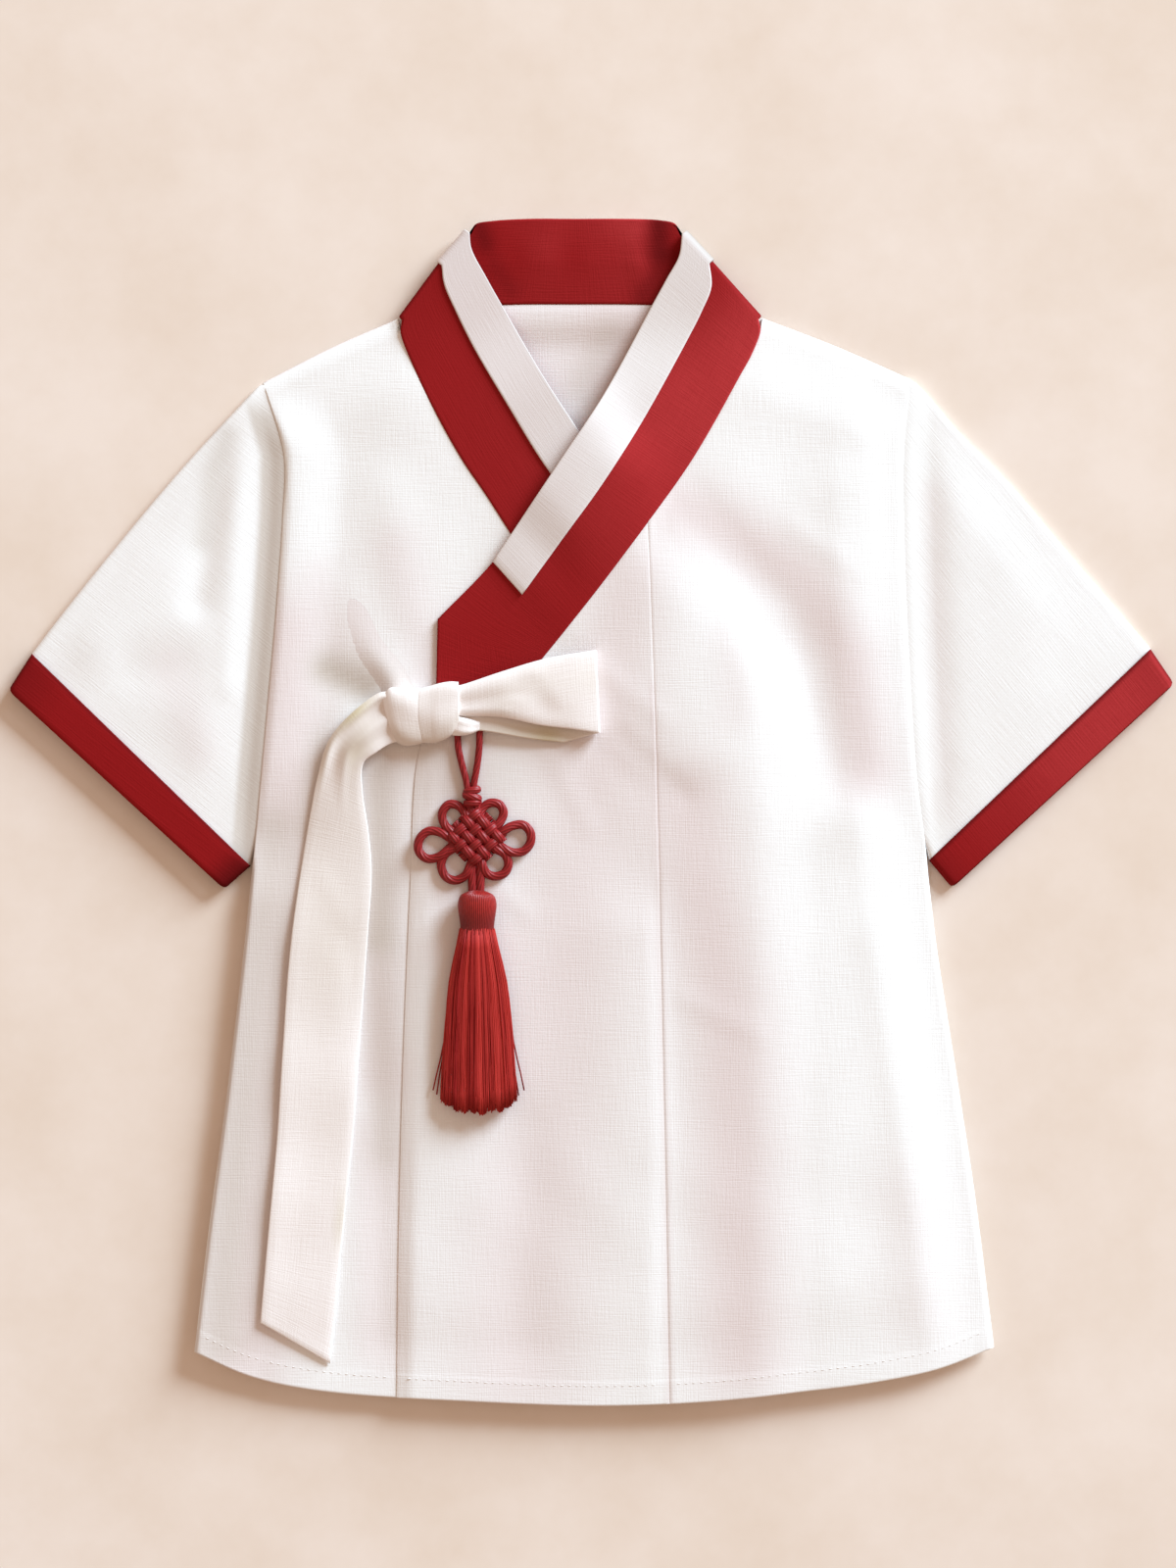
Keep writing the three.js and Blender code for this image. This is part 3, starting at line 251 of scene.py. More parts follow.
def distance_to_line(x, y, line):
    """How far places are from the nearest point of a line of straight spans."""
    nearest = np.full(np.shape(x), np.inf)
    for (ax, ay), (bx, by) in zip(line, line[1:]):
        dx, dy = bx - ax, by - ay
        share = np.clip(((x - ax) * dx + (y - ay) * dy) / (dx * dx + dy * dy), 0.0, 1.0)
        nearest = np.minimum(nearest, np.hypot(x - ax - share * dx, y - ay - share * dy))
    return nearest


def fold_height(x, y, folds):
    """Soft straight creases, each from one point to another."""
    height = np.zeros(np.shape(x))
    for start, end, width, rise in folds:
        away = distance_to_line(x, y, [start, end]) / width
        height = height + rise * np.exp(-away * away)
    return height


def side_of(x, y, line):
    """Below zero to the left of a line that runs down the cloth, above zero to its right."""
    xs, ys = zip(*line[::-1])
    return x - np.interp(y, ys, xs)


def long_folds(x, y, folds):
    """Folds that run down the cloth. Past its ends a fold fades over the same length on both sides."""
    height = np.zeros(np.shape(x))
    for line, left, right, rise in folds:
        width = mix(left, right, smooth(-2.0, 2.0, side_of(x, y, line)))
        past = np.maximum(y - line[0][1], 0.0) + np.maximum(line[-1][1] - y, 0.0)
        across = np.maximum(distance_to_line(x, y, line) ** 2 - past ** 2, 0.0)
        height = height + rise * np.exp(-across / width ** 2 - past ** 2 / (left * right))
    return height


def depth_of(x, y, hollows):
    """How far into the soft hollows a place lies, from 0 to 1."""
    bare = np.ones(np.shape(x))
    for line, width, depth in hollows:
        away = distance_to_line(x, y, line) / width
        bare = bare * (1 - depth * np.exp(-away * away))
    return 1 - bare


def x_at(line, y):
    """x on a line that runs up the cloth."""
    xs, ys = zip(*line)
    return np.interp(y, ys, xs)


def y_at(line, x):
    """y on a line that runs across the cloth."""
    xs, ys = zip(*line)
    return np.interp(x, xs, ys)


def curve_through(points, between=8):
    """Points on one smooth curve through the given ones, with so many steps in each span."""
    points = np.array(points, float)
    first = 2 * points[0] - points[1]
    last = 2 * points[-1] - points[-2]
    padded = np.vstack([first, points, last])
    found = [points[0]]
    for a, b, c, d in zip(padded, padded[1:], padded[2:], padded[3:]):
        before, span, after = (math.sqrt(np.linalg.norm(q - p)) for p, q in ((a, b), (b, c), (c, d)))
        leave = ((b - a) / before - (c - a) / (before + span) + (c - b) / span) * span
        arrive = ((c - b) / span - (d - b) / (span + after) + (d - c) / after) * span
        for step in range(1, between + 1):
            t = step / between
            bend = (2 * (b - c) + leave + arrive) * t**3
            sweep = (3 * (c - b) - 2 * leave - arrive) * t**2
            found.append(bend + sweep + leave * t + b)
    return np.array(found)


def lengths_along(points):
    """How far along a run each of its points lies."""
    steps = np.linalg.norm(np.diff(points, axis=0), axis=1)
    return np.concatenate([[0.0], np.cumsum(steps)])


def lengths_across(grid):
    """How far along its own row each point of a grid lies."""
    steps = np.linalg.norm(np.diff(grid, axis=1), axis=2)
    return np.concatenate([np.zeros((len(grid), 1)), np.cumsum(steps, axis=1)], axis=1)


def resample(points, places):
    """Points at the given shares of a run's length, or at so many equal steps."""
    points = np.array(points, float)
    if np.isscalar(places):
        places = np.linspace(0.0, 1.0, places + 1)
    travelled = lengths_along(points)
    wanted = np.array(places) * travelled[-1]
    return np.stack([np.interp(wanted, travelled, points[:, k]) for k in range(points.shape[1])], 1)


def joined(first, *others):
    """One run of several, each of which starts where the one before it ends."""
    return np.vstack([first] + [run[1:] for run in others])


def from_edge(near, length, steps):
    """Shares of a length: close steps, at the given distances, and then equal ones to the end."""
    rest = np.linspace(near[-1], length, steps - len(near) + 2)[1:]
    return np.concatenate([near, rest]) / length


# ---- heights of the layers ----
HEM = curve_through(HEM_POINTS, 6)
RIGHT_EDGE_LINE = SIDE_RIGHT + ARMHOLE_RIGHT[1:]
LEFT_EDGE_LINE = SIDE_LEFT + ARMHOLE_LEFT[1:]
HIDDEN_COLLAR_LINE = [(-28, 164.4), (-12, 140.3), (17, 101.8), (36, 81.3), (44, COLLAR_FOOT)]
HIDDEN_EDGING_LINE = [(-30, 196.8), (-15, 173), (-0.5, 151.8)]
INNER_LIMIT = [(RIGHT_FRONT_EDGE, -290), (RIGHT_FRONT_EDGE, COLLAR_FOOT), (68, 92), (44, 124), (0, 184),
               (-60, 275)]


def shoulder_height(x):
    """y of the body's upper edge."""
    between = np.where(x > SHOULDER_LEFT[0][0], y_at(SHOULDER_LEFT, x), NECK_Y)
    return np.where(x < SHOULDER_RIGHT[2][0], y_at(SHOULDER_RIGHT, x), between)


def rolled_edge(from_seam, height):
    """The cloth's soft roll beside an armhole's seam."""
    foot = mix(ROLL_FOOT, 1.0, smooth(0, ROLL_WIDTH, from_seam))
    return height * smooth(ROLL_REACH, ROLL_WIDTH, from_seam) * foot


def slackness(x, y):
    """The small unevenness of washed and pressed cloth."""
    waves = np.sin(x / 11.3 + 1.7 * np.sin(y / 29.0)) * np.sin(y / 17.1 + 1.3 * np.sin(x / 37.0) + 0.8)
    drift = np.sin(x / 23.7 - y / 41.0 + 2.1) * np.sin(y / 31.3 + x / 67.0)
    return SLACK * (waves + drift)


def from_right_edge(x, y):
    """How far inside the body's edge on the wearer's right a place lies."""
    return x - x_at(RIGHT_EDGE_LINE, y)


def from_left_edge(x, y):
    """How far inside the body's edge on the wearer's left a place lies."""
    return x_at(LEFT_EDGE_LINE, y) - x


def over_hem(x, y):
    """How far above the hem a place lies."""
    return y - y_at(HEM, x)


def at_armhole(y):
    """1 beside an armhole, and less towards its two ends."""
    return smooth(*ARMHOLE_FOOT, y) * smooth(*ARMHOLE_TOP, y)


def puff(x, y):
    """How far the body stands off what it lies on: its crown, its folds and its rolled armholes."""
    from_right, from_left = from_right_edge(x, y), from_left_edge(x, y)
    right_slope = mix(*RIGHT_SLOPE, smooth(*WAIST_TO_CHEST, y))
    sides = smooth(0, right_slope, from_right) * smooth(0, LEFT_SLOPE, from_left)
    shoulder = smooth(0, SHOULDER_SLOPE, shoulder_height(x) - y)
    inside = sides * shoulder * mix(HEM_CROWN, 1.0, smooth(0, HEM_SLOPE, over_hem(x, y)))
    roll = rolled_edge(from_right, ARMHOLE_ROLL_RIGHT) + rolled_edge(from_left, ARMHOLE_ROLL_LEFT)
    creases = fold_height(x, y, SLACK_FOLDS) + slackness(x, y)
    drape = inside * (CROWN + long_folds(x, y, BODY_FOLDS) + creases) + at_armhole(y) * roll
    return np.clip(drape, 0.0, MAX_PUFF)


def hem_relief(x, y):
    """The turned-up hem is one layer thicker than the cloth above it."""
    return HEM_RELIEF * smooth(HEM_DEPTH + 0.7, HEM_DEPTH - 0.2, over_hem(x, y))


def edge_lift(x, y):
    """How far the side and the hem stand off the floor, where washed cloth curls up a little."""
    side = SIDE_LIFT * smooth(*CURL_STARTS, y) * smooth(SIDE_CURL, 0, from_right_edge(x, y))
    hem = HEM_LIFT * smooth(HEM_CURL, 0, over_hem(x, y))
    return np.maximum(side, hem)


def front_underside(x, y):
    """Height of the under front's lower face."""
    return FLOOR_TOP + edge_lift(x, y) + puff(x, y)


def over_underside(x, y):
    """The over front rests on the under one, and on the collar and edging that it hides."""
    covered = 1 - smooth(0, INNER_SLOPE, x - x_at(INNER_LIMIT, y))
    over_collar = 1 - smooth(*COLLAR_SLOPE, distance_to_line(x, y, HIDDEN_COLLAR_LINE))
    over_edging = 1 - smooth(*EDGING_SLOPE, distance_to_line(x, y, HIDDEN_EDGING_LINE))
    over_panel = covered * (CLOTH + GAP + EASE)
    over_strip = over_collar * (COLLAR - CLOTH + EASE)
    return front_underside(x, y) + over_panel + over_strip + over_edging * (EDGING + GAP + NECK_LIFT)


def under_top(x, y):
    return front_underside(x, y) + CLOTH


def over_top(x, y):
    return over_underside(x, y) + CLOTH


def rest_on_gore(x, y):
    """Height at which something lies on the over front."""
    return over_top(x, y) + GAP


# ---- meshes ----
def srgb(hex_colour):
    """A hex colour as the linear numbers that a shader takes."""
    channels = [int(hex_colour[k:k + 2], 16) / 255 for k in (1, 3, 5)]
    linear = [c / 12.92 if c <= 0.04045 else ((c + 0.055) / 1.055) ** 2.4 for c in channels]
    return (*linear, 1.0)


def signed_volume(points, faces):
    """Above zero when the faces of a closed mesh look outwards."""
    total = 0.0
    for face in faces:
        for k in range(1, face.shape[1] - 1):
            a, b, c = points[face[:, 0]], points[face[:, k]], points[face[:, k + 1]]
            total += np.einsum("ij,ij->i", a, np.cross(b, c)).sum()
    return total


def new_object(name, data):
    """An object that holds the given data, in the scene."""
    thing = bpy.data.objects.new(name, data)
    bpy.context.scene.collection.objects.link(thing)
    return thing


def make_piece(name, points, faces, material, thread=None, values=None):
    """One smooth object of a closed mesh. faces is a list of whole-number arrays, a row for each face.

    thread holds, for each point, how far across and along the cloth it lies, in millimetres.
    """
    if signed_volume(points, faces) < 0:
        faces = [face[:, ::-1] for face in faces]
    mesh = bpy.data.meshes.new(name)
    mesh.from_pydata((points * MM).tolist(), [], [row for face in faces for row in face.tolist()])
    mesh.shade_smooth()
    if thread is not None:
        flat = np.zeros((len(points), 3))
        flat[:, :2] = thread
        mesh.attributes.new("thread", "FLOAT_VECTOR", "POINT").data.foreach_set("vector", flat.ravel())
    for key, value in (values or {}).items():
        mesh.attributes.new(key, "FLOAT", "POINT").data.foreach_set("value", np.asarray(value, float))
    mesh.materials.append(material)
    return new_object(name, mesh)


def grid_faces(rows, columns, first=0, wrap=False):
    """Four-sided faces of a grid of points. With wrap its last column joins its first."""
    index = first + np.arange(rows * columns).reshape(rows, columns)
    if wrap:
        index = np.hstack([index, index[:, :1]])
    corners = (index[:-1, :-1], index[:-1, 1:], index[1:, 1:], index[1:, :-1])
    return np.stack([c.ravel() for c in corners], 1)


def once_round(sides):
    """Angles in so many equal steps round a ring."""
    return 2 * np.pi * np.arange(sides) / sides


def rim_loop(rows, columns):
    """Indices of a grid's outline, once round."""
    index = np.arange(rows * columns).reshape(rows, columns)
    return np.concatenate([index[0, :-1], index[:-1, -1], index[-1, :0:-1], index[:0:-1, 0]])


def beside_rim(rows, columns):
    """For each point of a grid's outline, the index of its neighbour further in."""
    index = np.arange(rows * columns).reshape(rows, columns)
    return np.concatenate([index[1, :-1], index[:-1, -2], index[-2, :0:-1], index[:0:-1, 1]])


RIM_STEPS = 4  # faces round the half-round fold of an edge


def unit(vectors):
    """The same directions, one long."""
    return vectors / np.maximum(np.linalg.norm(vectors, axis=-1, keepdims=True), 1e-9)


def cloth_shell(name, inner, outer, thread, material, values=None):
    """Cloth between two faces, each a grid of points, with its edges turned in round."""
    rows, columns = inner.shape[:2]
    low = inner.reshape(-1, 3).copy()
    high = outer.reshape(-1, 3).copy()
    loop = rim_loop(rows, columns)
    up = unit(high[loop] - low[loop])
    middle = (low[loop] + high[loop]) / 2
    tangent = unit(np.roll(middle, -1, axis=0) - np.roll(middle, 1, axis=0))
    out = unit(np.cross(tangent, up))
    if np.einsum("ij,ij->i", out, high[beside_rim(rows, columns)] - high[loop]).sum() > 0:
        out = -out
    half = np.linalg.norm(high[loop] - low[loop], axis=1, keepdims=True) / 2
    low[loop] -= out * half
    high[loop] -= out * half
    middle -= out * half
    count = rows * columns
    points = [low, high]
    for step in range(1, RIM_STEPS):
        angle = math.pi * step / RIM_STEPS
        points.append(middle + out * half * math.sin(angle) + up * half * math.cos(angle))
    faces = [grid_faces(rows, columns)[:, ::-1], grid_faces(rows, columns, count)]
    rings = [loop + count]
    rings += [2 * count + k * len(loop) + np.arange(len(loop)) for k in range(RIM_STEPS - 1)]
    rings += [loop]
    for above, below in zip(rings, rings[1:]):
        faces.append(np.stack([above, below, np.roll(below, -1), np.roll(above, -1)], 1))
    flat = thread.reshape(-1, 2)
    threads = np.vstack([flat, flat] + [flat[loop]] * (RIM_STEPS - 1))
    spread = {}
    for key, value in (values or {}).items():
        value = np.asarray(value).ravel()
        spread[key] = np.concatenate([value, value] + [value[loop]] * (RIM_STEPS - 1))
    return make_piece(name, np.vstack(points), faces, material, threads, spread)


def end_caps(rows, around, first=0):
    """The two faces that close a row of rings at its ends."""
    ring = first + np.arange(around)
    return [ring[None, ::-1], (ring + (rows - 1) * around)[None, :]]


def open_tube(name, outer, inner, thread, material, values=None):
    """A tube of cloth, open at both ends. Both faces are grids whose rows are closed rings."""
    rows, around = outer.shape[:2]
    count = rows * around
    points = np.vstack([outer.reshape(-1, 3), inner.reshape(-1, 3)])
    faces = [grid_faces(rows, around, 0, True), grid_faces(rows, around, count, True)[:, ::-1]]
    for row, turn in ((0, 1), (rows - 1, -1)):
        out = row * around + np.arange(around)
        ring = np.stack([out, np.roll(out, -1), np.roll(out, -1) + count, out + count], 1)
        faces.append(ring[:, ::-turn])
    flat = thread.reshape(-1, 2)
    spread = {key: np.concatenate([np.ravel(value)] * 2) for key, value in (values or {}).items()}
    return make_piece(name, points, faces, material, np.vstack([flat, flat]), spread)


def loft(name, rings, thread, material, values=None):
    """A filled body through closed rings, with a cap at each end."""
    rows, around = rings.shape[:2]
    faces = [grid_faces(rows, around, 0, True), *end_caps(rows, around)]
    return make_piece(name, rings.reshape(-1, 3), faces, material, thread.reshape(-1, 2), values)


def tube_rings(route, radius, sides, closed=False):
    """Rings round a route. radius is one number, or one for each point of the route."""
    route = np.asarray(route, float)
    if closed:
        tangent = unit(np.roll(route, -1, axis=0) - np.roll(route, 1, axis=0))
    else:
        tangent = unit(np.gradient(route, axis=0))
    side = unit(np.cross(tangent, [0.0, 0.0, 1.0]) + 1e-9)
    lift = unit(np.cross(side, tangent))
    angle = once_round(sides)
    radius = np.broadcast_to(np.asarray(radius, float), (len(route),))[:, None, None]
    spokes = np.cos(angle)[None, :, None] * side[:, None] + np.sin(angle)[None, :, None] * lift[:, None]
    return route[:, None] + radius * spokes


def tube_thread(route, radius, sides):
    """How far round and along a cord each point of its rings lies."""
    travelled = lengths_along(np.asarray(route, float))
    round_it = 2 * np.pi * radius * np.arange(sides) / sides
    return np.stack(np.broadcast_arrays(round_it[None, :], travelled[:, None]), -1)


# ---- plans of the panels ----
NEAR_SIDE = [0.0, 0.8, 2.0, 3.5, 5.5, 8.5]
NEAR_HEM = [0.0, 1.0, 3.0, 6.0, 9.0, 10.4, 11.0, 11.6, 12.4, 14.5, 17.5]
SIDE_STEPS = 62
ARMHOLE_STEPS = 66
SHOULDER_STEPS = 28
COLLAR_STEPS = 46
FOOT_STEPS = 10


def shares_along(run):
    """How far along a run each of its points lies, as a share of its length."""
    travelled = lengths_along(run)
    return travelled / travelled[-1]


def plan_grid(bottom, top, left, right, columns=None, rows=None):
    """Fills four edge runs that share their corners; bottom and top run with x, the others with y.

    columns and rows are the shares at which they lie, where those of the edge runs won't do.
    """
    u = (shares_along(bottom) if columns is None else columns)[None, :, None]
    v = (shares_along(left) if rows is None else rows)[:, None, None]
    across = mix(bottom[None], top[None], v) + mix(left[:, None], right[:, None], u)
    low = mix(bottom[0], bottom[-1], u)
    high = mix(top[0], top[-1], u)
    return across - mix(low, high, v)


def smooth_rulings(rulings, straight_end=0, straight_start=0):
    """Rulings on smooth edges, but with straight spans at the ends where the strip has corners."""
    count = len(rulings)
    middle = curve_through(rulings[straight_start:count - straight_end], RULINGS_BETWEEN)
    runs = [middle]
    if straight_start:
        runs.insert(0, resample(rulings[:straight_start + 1], RULINGS_BETWEEN * straight_start))
    if straight_end:
        runs.append(resample(rulings[count - straight_end - 1:], RULINGS_BETWEEN * straight_end))
    return joined(*runs)


under_rows = smooth_rulings(UNDER_FRONT, straight_start=1)
over_rows = smooth_rulings(OVER_FRONT, straight_end=1)


def sewn_along(rulings):
    """The seam edge of a stretch of collar, where a front is sewn to it."""
    neck, seam = rulings[:, :2], rulings[:, 4:]
    return seam + SEAM_GAP * unit(seam - neck)


def hem_between(start, end, places):
    """Points on the hem, at shares of the way from one x to another."""
    xs = mix(start, end, places)
    return np.stack([xs, y_at(HEM, xs)], 1)


def up_from_hem(run):
    """A run's points from the hem upwards, close together where the hem is turned."""
    return resample(run, from_edge(NEAR_HEM, lengths_along(run)[-1], SIDE_STEPS + ARMHOLE_STEPS))


def side_run(side, armhole):
    """The body's edge from the hem to the shoulder."""
    return up_from_hem(joined(curve_through(side), curve_through(armhole)))


def inner_run(points):
    """A front's inner edge, from the hem up."""
    return up_from_hem(curve_through(points, 12))


def shoulder_run(shoulder):
    """A shoulder's points from the armhole inwards, close together beside it."""
    return resample(shoulder, from_edge(NEAR_SIDE, lengths_along(shoulder)[-1], SHOULDER_STEPS))


def right_front_plan():
    """The under front: shoulder, collar seam, the collar's foot and the hidden inner edge."""
    shoulder = shoulder_run(curve_through(SHOULDER_RIGHT))
    seam = resample(sewn_along(under_rows)[::-1], COLLAR_STEPS)
    foot = COLLAR_FOOT - SEAM_GAP
    seam[-1] = (COLLAR_FOOT_END, foot)
    under_foot = resample([(COLLAR_FOOT_END, foot), (RIGHT_FRONT_EDGE, foot)], FOOT_STEPS)
    top = joined(shoulder, [shoulder[-1], seam[0]], seam, under_foot)
    width = RIGHT_FRONT_EDGE - HEM[0][0]
    bottom = hem_between(HEM[0][0], RIGHT_FRONT_EDGE, from_edge(NEAR_SIDE, width, len(top) - 1))
    left = side_run(SIDE_RIGHT, ARMHOLE_RIGHT)
    right = inner_run([bottom[-1], top[-1]])
    return plan_grid(bottom, top, left, right)


def left_front_plan():
    """The over front from its gore seam to its armhole and side."""
    gore = [(x + 2 * SEAM_GAP, y) for x, y in GORE_SEAM]
    shoulder = shoulder_run(curve_through(SHOULDER_LEFT)[::-1])[::-1]
    upper_rows = over_rows[:GORE_TOP * RULINGS_BETWEEN + 1]
    seam = resample(sewn_along(upper_rows)[::-1], COLLAR_STEPS)
    seam[0, 0] = gore[3][0]
    top = joined(seam, [seam[-1], shoulder[0]], shoulder)
    width = HEM[-1][0] - gore[0][0]
    bottom = hem_between(HEM[-1][0], gore[0][0], from_edge(NEAR_SIDE, width, len(top) - 1))[::-1]
    right = side_run(SIDE_LEFT, ARMHOLE_LEFT)
    left = inner_run([bottom[0], *gore[1:3], top[0]])
    return plan_grid(bottom, top, left, right)


def back_plan():
    """The back panel, with its neckline behind the collar."""
    right_shoulder = curve_through(SHOULDER_RIGHT)
    left_shoulder = curve_through(SHOULDER_LEFT)
    neck = [(row[4], row[5]) for row in BACK_STRETCH[1:-1]]
    neck = curve_through([BACK_NECK_ENDS[0], *neck, BACK_NECK_ENDS[1]])
    top = joined(resample(right_shoulder, SHOULDER_STEPS), [right_shoulder[-1], neck[0]],
                 resample(neck, COLLAR_STEPS), [neck[-1], left_shoulder[0]],
                 resample(left_shoulder, SHOULDER_STEPS))
    bottom = hem_between(HEM[0][0], HEM[-1][0], np.linspace(0, 1, len(top)))
    return plan_grid(bottom, top, side_run(SIDE_RIGHT, ARMHOLE_RIGHT), side_run(SIDE_LEFT, ARMHOLE_LEFT))


def make_back(material):
    """The back panel: its outer side, which the garment lies on, has the centre seam and the hem."""
    plan = back_plan()
    x, y = plan[..., 0], plan[..., 1]
    seam_x, seam_width, seam_height = CENTRE_SEAM
    centre_seam = seam_height * np.exp(-((x - seam_x) / seam_width) ** 2)
    turned_hem = BACK_HEM_RELIEF * smooth(HEM_DEPTH - 0.4, HEM_DEPTH + 0.8, over_hem(x, y))
    from_side = np.minimum(from_right_edge(x, y), from_left_edge(x, y))
    from_end = np.minimum(over_hem(x, y), shoulder_height(x) - y)
    rise = (LOFT + edge_lift(x, y)) * smooth(BACK_RESTS_FROM, 0, np.minimum(from_side, from_end))
    inner = np.dstack([x, y, rise + np.minimum(centre_seam + turned_hem, BACK_RELIEF_MOST)])
    outer = np.dstack([x, y, rise + CLOTH])
    # painted shade: the back is greyer near the neck under the collar, most towards the wearer's left, and
    # browner where the back's table of shades lies
    under_collar = 0.6 + 0.4 * smooth(-25, 15, x)
    tones = {
        "painted_hollow_shade": under_collar * smooth(180, 205, y),
        "shade": depth_of(x, y, BACK_SHADES),
    }
    piece = cloth_shell("back_panel", inner, outer, plan, material, tones)
    return piece


def gore_plan():
    """The gore: its free edge, the collar's foot, its stretch of collar seam and its own seam."""
    lower_rows = over_rows[GORE_TOP * RULINGS_BETWEEN:]
    seam = resample(sewn_along(lower_rows)[::-1][RULINGS_BETWEEN:], COLLAR_STEPS)
    foot = OVERLAP_EDGE[-1][1]
    seam[-1, 0] = GORE_SEAM[3][0]
    corner = sewn_along(lower_rows)[-1]
    edge = [OVERLAP_EDGE[-1], (corner[0] + SEAM_GAP, foot)]
    rise = [(corner[0] + SEAM_GAP, foot), seam[0]]
    top = joined(resample(edge, FOOT_STEPS), resample(rise, 6), seam)
    bottom = hem_between(OVERLAP_EDGE[0][0], GORE_SEAM[0][0], np.linspace(0, 1, len(top)))
    left = inner_run([bottom[0], *OVERLAP_EDGE[1:]])
    right = inner_run([bottom[-1], *GORE_SEAM[1:3], top[-1]])
    return plan_grid(bottom, top, left, right)


FOLD_ROUND = 2.6  # how far in from a folded edge the cloth's faces lie flat
SLEEVE_FOOT = (-30, -18)  # y where a sleeve starts to carry the cloth on, and where it does so fully
SLEEVE_TOP = (203, 196)


def edge_profile(away):
    """Share of the full thickness at a distance from a folded edge: a quarter circle."""
    inside = np.clip(away / FOLD_ROUND, 0.0, 1.0)
    return np.sqrt(1 - (1 - inside) ** 2)


def front_panel(name, plan, underside, material):
    """A panel of the fronts, as thick as the cloth, on what lies under it."""
    x, y = plan[..., 0], plan[..., 1]
    low = underside(x, y)
    high = low + CLOTH + hem_relief(x, y)
    # at the shoulders and the side seams the cloth turns down to meet the back; a sleeve carries it on
    outer_edge = np.minimum(from_right_edge(x, y), from_left_edge(x, y))
    outer_edge = outer_edge + FOLD_ROUND * smooth(*SLEEVE_FOOT, y) * smooth(*SLEEVE_TOP, y)
    outer_edge = np.minimum(outer_edge, shoulder_height(x) - y)
    turned = EDGE_DROP * (1 - edge_profile(outer_edge))
    low = low - turned
    high = high - turned
    if underside is over_underside:
        # the overlapping edge is pressed down on the front below it
        from_overlap = distance_to_line(x, y, OVERLAP_EDGE)
        pressed = OVERLAP_PRESSED * smooth(OVERLAP_PRESSED_OVER, 0, from_overlap)
        low = low - pressed
        high = high - pressed - OVERLAP_THIN * smooth(OVERLAP_THINS_OVER, 0, from_overlap)
    inner = np.dstack([x, y, low])
    outer = np.dstack([x, y, high])
    # painted shade: pinker in the body's hollows and browner in the shade of its folds
    tones = {"painted_hollow_shade": depth_of(x, y, BODY_HOLLOWS), "shade": depth_of(x, y, BODY_SHADES)}
    return cloth_shell(name, inner, outer, plan, material, tones)


# ---- sleeves and cuffs ----
RIGHT_SLEEVE = {
    "crest": [(-156.2, 201.8), (-169.5, 188.4), (-194.5, 161.2), (-223.6, 126.5), (-251.4, 91.8),
              (-264.5, 74.5)],
    "armhole": [(-156.2, 201.8), (-146.2, 169.5), (-146.8, 140), (-150, 96), (-155, 39.5),
                (-160.2, -14.5)],
    "underarm": [(-160.2, -14.5), (-161.2, -25.6)],
    "cuff_edge": [(-275.4, 57.6), (-173.3, -36.4)],
    "sewn_in": 1.9,
    "body_edge": RIGHT_EDGE_LINE,
    "side": -1,
    "roll": ARMHOLE_ROLL_RIGHT,
    "edge_height": 2.6 + LOFT,
    "valley": (0.8, 9.0, 13.0),  # how deep its painted shade is, and where beside the seam it ends, in millimetres
    "cuff_height": 4.9 + LOFT,
    "cuff_tone": (0.95, 0.95),  # how dark painted shade makes its red beside the body and at the other end
    "cuff_shade": 0.95,
}
LEFT_SLEEVE = {
    "crest": [(151.6, 203.6), (157.5, 198.2), (173.3, 179.5), (197.3, 155.2), (225.3, 122.2),
              (251, 92.5), (264.4, 76.8)],
    "armhole": [(151.6, 203.6), (148.5, 170), (148.9, 123.9), (151.4, 66), (154.7, 16.5),
                (158.6, -13)],
    "underarm": [(158.6, -13), (159.6, -23)],
    "cuff_edge": [(275.4, 60.6), (170.4, -35.9)],
    "sewn_in": -1.9,
    "body_edge": LEFT_EDGE_LINE,
    "side": 1,
    "roll": ARMHOLE_ROLL_LEFT,
    "edge_height": 0.6 + LOFT,
    "valley": (0.22, 10.0, 16.0),
    "cuff_height": 2.6 + LOFT,
    "cuff_tone": (0.9, 0.1),
    "cuff_shade": 0.3,
}
ACROSS_SLEEVE = 66
ALONG_SLEEVE = 60
SLEEVE_WIDTH = 190.0  # roughly, to space its columns
CUFF_WIDTH = 137.0
NEAR_FOLD = [0.0, 0.15, 0.5, 1.0, 1.7, 3.0]
CREST_SLOPE = 30  # how far in from its crest a sleeve's drape is whole
ARMHOLE_SLOPE = (5, 34)  # how far outside the body's edge it starts, and where it is whole
CUFF_SLOPE = 30
AT_CUFF = 0.4  # the share of it that is left at the cuff
LEVEL_BY = 14  # how far outside the body's edge a sleeve has come down to its own height
VALLEY = (0.7, 6, 4)  # depth of the valley beside the armhole's seam, its place and its width
CUFF_ROWS = [0.5, 1.2, 2.4, 5, 8, 11, 14, 17, 18.6, 19.6]  # how far from its seam they lie
CUFF_SEAM_PRESSED = 0.35
CUFF_MOUTH_PRESSED = 0.45
CUFF_CORNER = 2.2  # radius of the corners at a cuff's mouth


def flat_rings(plan, height, wall, edge_height):
    """Closed rings round a flattened tube, for its outer and its inner face."""
    travelled = lengths_across(plan)
    total = travelled[:, -1:]

    def ring(inset):
        places = inset + travelled * (total - 2 * inset) / total
        moved = np.empty_like(plan)
        for i, row in enumerate(plan):
            for axis in (0, 1):
                moved[i, :, axis] = np.interp(places[i], travelled[i], row[:, axis])
        x, y = moved[..., 0], moved[..., 1]
        round_part = edge_profile(np.minimum(places, total - places) - inset)
        middle = edge_height / 2
        top = middle + (height(x, y) - inset - middle) * round_part
        low = middle - (middle - inset) * round_part
        over = np.dstack([x, y, top])[:, ::-1]
        under = np.dstack([x, y, low])
        return np.concatenate([under, over[:, 1:-1]], axis=1)

    return ring(0.0), ring(wall)


